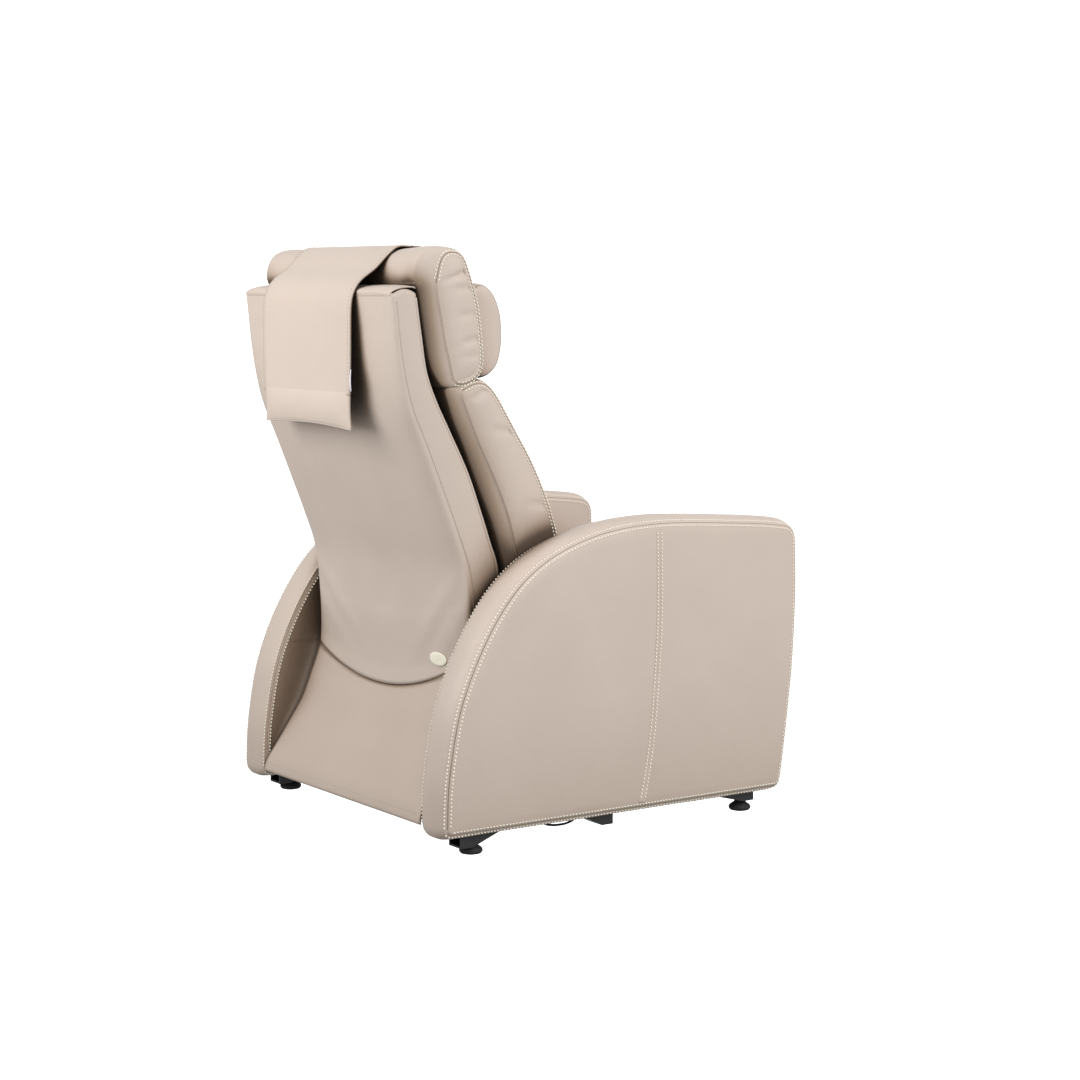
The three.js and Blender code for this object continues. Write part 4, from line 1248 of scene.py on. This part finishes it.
# Radius and height down one foot: a domed pad, a collar and a threaded stud.
FOOT_PROFILE = [(14, 0), (20, 1.6), (22.8, 5), (22.9, 8), (21, 12), (16.5, 15), (12.5, 18), (10, 22),
                (6.5, 23.5), (5, 24.5), (5, 48)]


def make_foot(place):
    low, high = cad(f"levelling_foot_{place}")
    under = np.append((low + high)[:2] / 2, low[2])
    ring = circle(40, [1, 0, 0], [0, 1, 0])
    rings = [under + radius * ring + height * UP for radius, height in FOOT_PROFILE]
    foot = skin(f"foot_{place}_pad", rings, RUBBER)
    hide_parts(f"levelling_foot_{place}")
    attach(foot, f"foot_{place}")


for place in ("front_left", "front_right", "rear_left", "rear_right"):
    make_foot(place)


# ---- Painted shade in gaps and near floor level ----

# Painted shade: how dark it gets in the closest gaps, and how dark and how far it reaches over the arms'
# inner faces.
PAINTED_GAP_DARKEST = 0.95
INNER_FACE_SHADE_SHARE = 0.3
INNER_FACE_REACH = 120


def shade_gap(piece, neighbours, floor_height=100, floor_shade_share=0.0, behind=()):
    """Record on a cover how near each point is to its neighbours and to floor level, as painted shade that
    darkens the leather there. neighbours gives the reach of each, and behind names what closes in the arms'
    inner faces, which get painted shade near them."""
    piece = bpy.data.objects[piece]
    trees = [(tree_of(bpy.data.objects[name]), reach) for name, reach in neighbours.items()]
    behind_trees = [tree_of(bpy.data.objects[name]) for name in behind]
    shares = []
    for vertex in piece.data.vertices:
        nearness = min(tree.find_nearest(vertex.co)[3] / MM / reach for tree, reach in trees)
        # Painted shadow low down, where a floor would shade the cover.
        floor = floor_shade_share * math.exp(-((vertex.co.z / MM / floor_height) ** 2))
        share = max(PAINTED_GAP_DARKEST * math.exp(-(nearness**2)), floor)
        if behind_trees and abs(vertex.co.x) / MM < ARM_INNER + 3.5:
            away = min(tree.find_nearest(vertex.co)[3] for tree in behind_trees) / MM
            share = max(share, INNER_FACE_SHADE_SHARE * math.exp(-((away / INNER_FACE_REACH) ** 2)))
        shares.append(share)
    piece.data.attributes.new("painted_shade", "FLOAT", "POINT").data.foreach_set("value", shares)


# Painted shade where covers close in on the shell, the arms and the back cushion, and painted floor shadow
# low on the arms and the skirt.
shade_gap("back_cushion_leather", {"shell_leather": 42, "arm_leather_left": 24, "arm_leather_right": 24})
shade_gap("headrest_leather", {"shell_leather": 34})
for label in ("left", "right"):
    shade_gap(f"arm_leather_{label}", {"back_cushion_leather": 32}, 190, 0.15,
              ("shell_leather", "rear_skirt_leather"))
shade_gap("rear_skirt_leather", {"shell_leather": 6}, 420, 0.15)


# ---- Camera, backdrop and light ----

CAMERA_PLACE = (-4.071, 2.717, 1.078)
CAMERA_AZIMUTH = math.radians(235.307)
CAMERA_PITCH = math.radians(-6.126)
CAMERA_LENS = 78.61
WORLD_ABOVE = 0.80
WORLD_BELOW = 0.26
KEY_WATTS = 15
FILL_WATTS = 112
CARD_DISTANCE = 11
CARD_HALF = 2900


def make_camera():
    data = bpy.data.cameras.new("camera")
    data.lens = CAMERA_LENS
    data.sensor_width = 36
    camera = bpy.data.objects.new("camera", data)
    camera.location = CAMERA_PLACE
    camera.rotation_euler = (math.pi / 2 + CAMERA_PITCH, 0, CAMERA_AZIMUTH)
    bpy.context.scene.collection.objects.link(camera)
    bpy.context.scene.camera = camera


def area_light(name, place, aim, size, watts, colour):
    data = bpy.data.lights.new(name, "AREA")
    data.size = size
    data.energy = watts
    data.color = colour
    light = bpy.data.objects.new(name, data)
    light.location = place
    light.rotation_euler = (Vector(aim) - Vector(place)).to_track_quat("-Z", "Y").to_euler()
    bpy.context.scene.collection.objects.link(light)


def studio_world():
    """White surroundings that are brighter above than below."""
    world = bpy.data.worlds.new("studio")
    world.use_nodes = True
    tree = world.node_tree
    place = tree.nodes.new("ShaderNodeTexCoord")
    parts = tree.nodes.new("ShaderNodeSeparateXYZ")
    spread = tree.nodes.new("ShaderNodeMapRange")
    tree.links.new(place.outputs["Generated"], parts.inputs["Vector"])
    tree.links.new(parts.outputs["Z"], spread.inputs["Value"])
    ends = {"From Min": -0.9, "From Max": 0.9, "To Min": WORLD_BELOW, "To Max": WORLD_ABOVE}
    for key, number in ends.items():
        spread.inputs[key].default_value = number
    background = tree.nodes["Background"]
    background.inputs["Color"].default_value = (1, 1, 1, 1)
    tree.links.new(spread.outputs["Result"], background.inputs["Strength"])
    bpy.context.scene.world = world


def make_backdrop():
    """Plain white card behind the chair, square to the camera."""
    forward = np.array([-math.sin(CAMERA_AZIMUTH) * math.cos(CAMERA_PITCH),
                        math.cos(CAMERA_AZIMUTH) * math.cos(CAMERA_PITCH), math.sin(CAMERA_PITCH)])
    side = unit(np.cross(forward, UP))
    above = np.cross(side, forward)
    middle = (np.array(CAMERA_PLACE) + forward * CARD_DISTANCE) / MM
    corners = [middle + (side * a + above * b) * CARD_HALF for a, b in ((-1, -1), (1, -1), (1, 1), (-1, 1))]
    n = Nodes("white_card")
    white = n.finish(Base_Color=n.tints(n.noise(0.8), (0.8, 0.8, 0.8), (0.78, 0.78, 0.78)), Roughness=1.0,
                     Emission_Color=(1, 1, 1, 1), Emission_Strength=1.1)
    mesh_object("white_card", corners, [[0, 1, 2, 3]], white)


def make_studio():
    studio_world()
    make_backdrop()
    area_light("key", (0.15, 1.65, 1.25), (0, 0.4, 0.85), 1.0, KEY_WATTS, (1, 0.985, 0.96))
    area_light("fill", (-4.0, -0.8, 2.6), (0, 0, 0.6), 2.2, FILL_WATTS, (1, 0.99, 0.98))
    bpy.context.scene.view_settings.view_transform = "Standard"


make_camera()
make_studio()
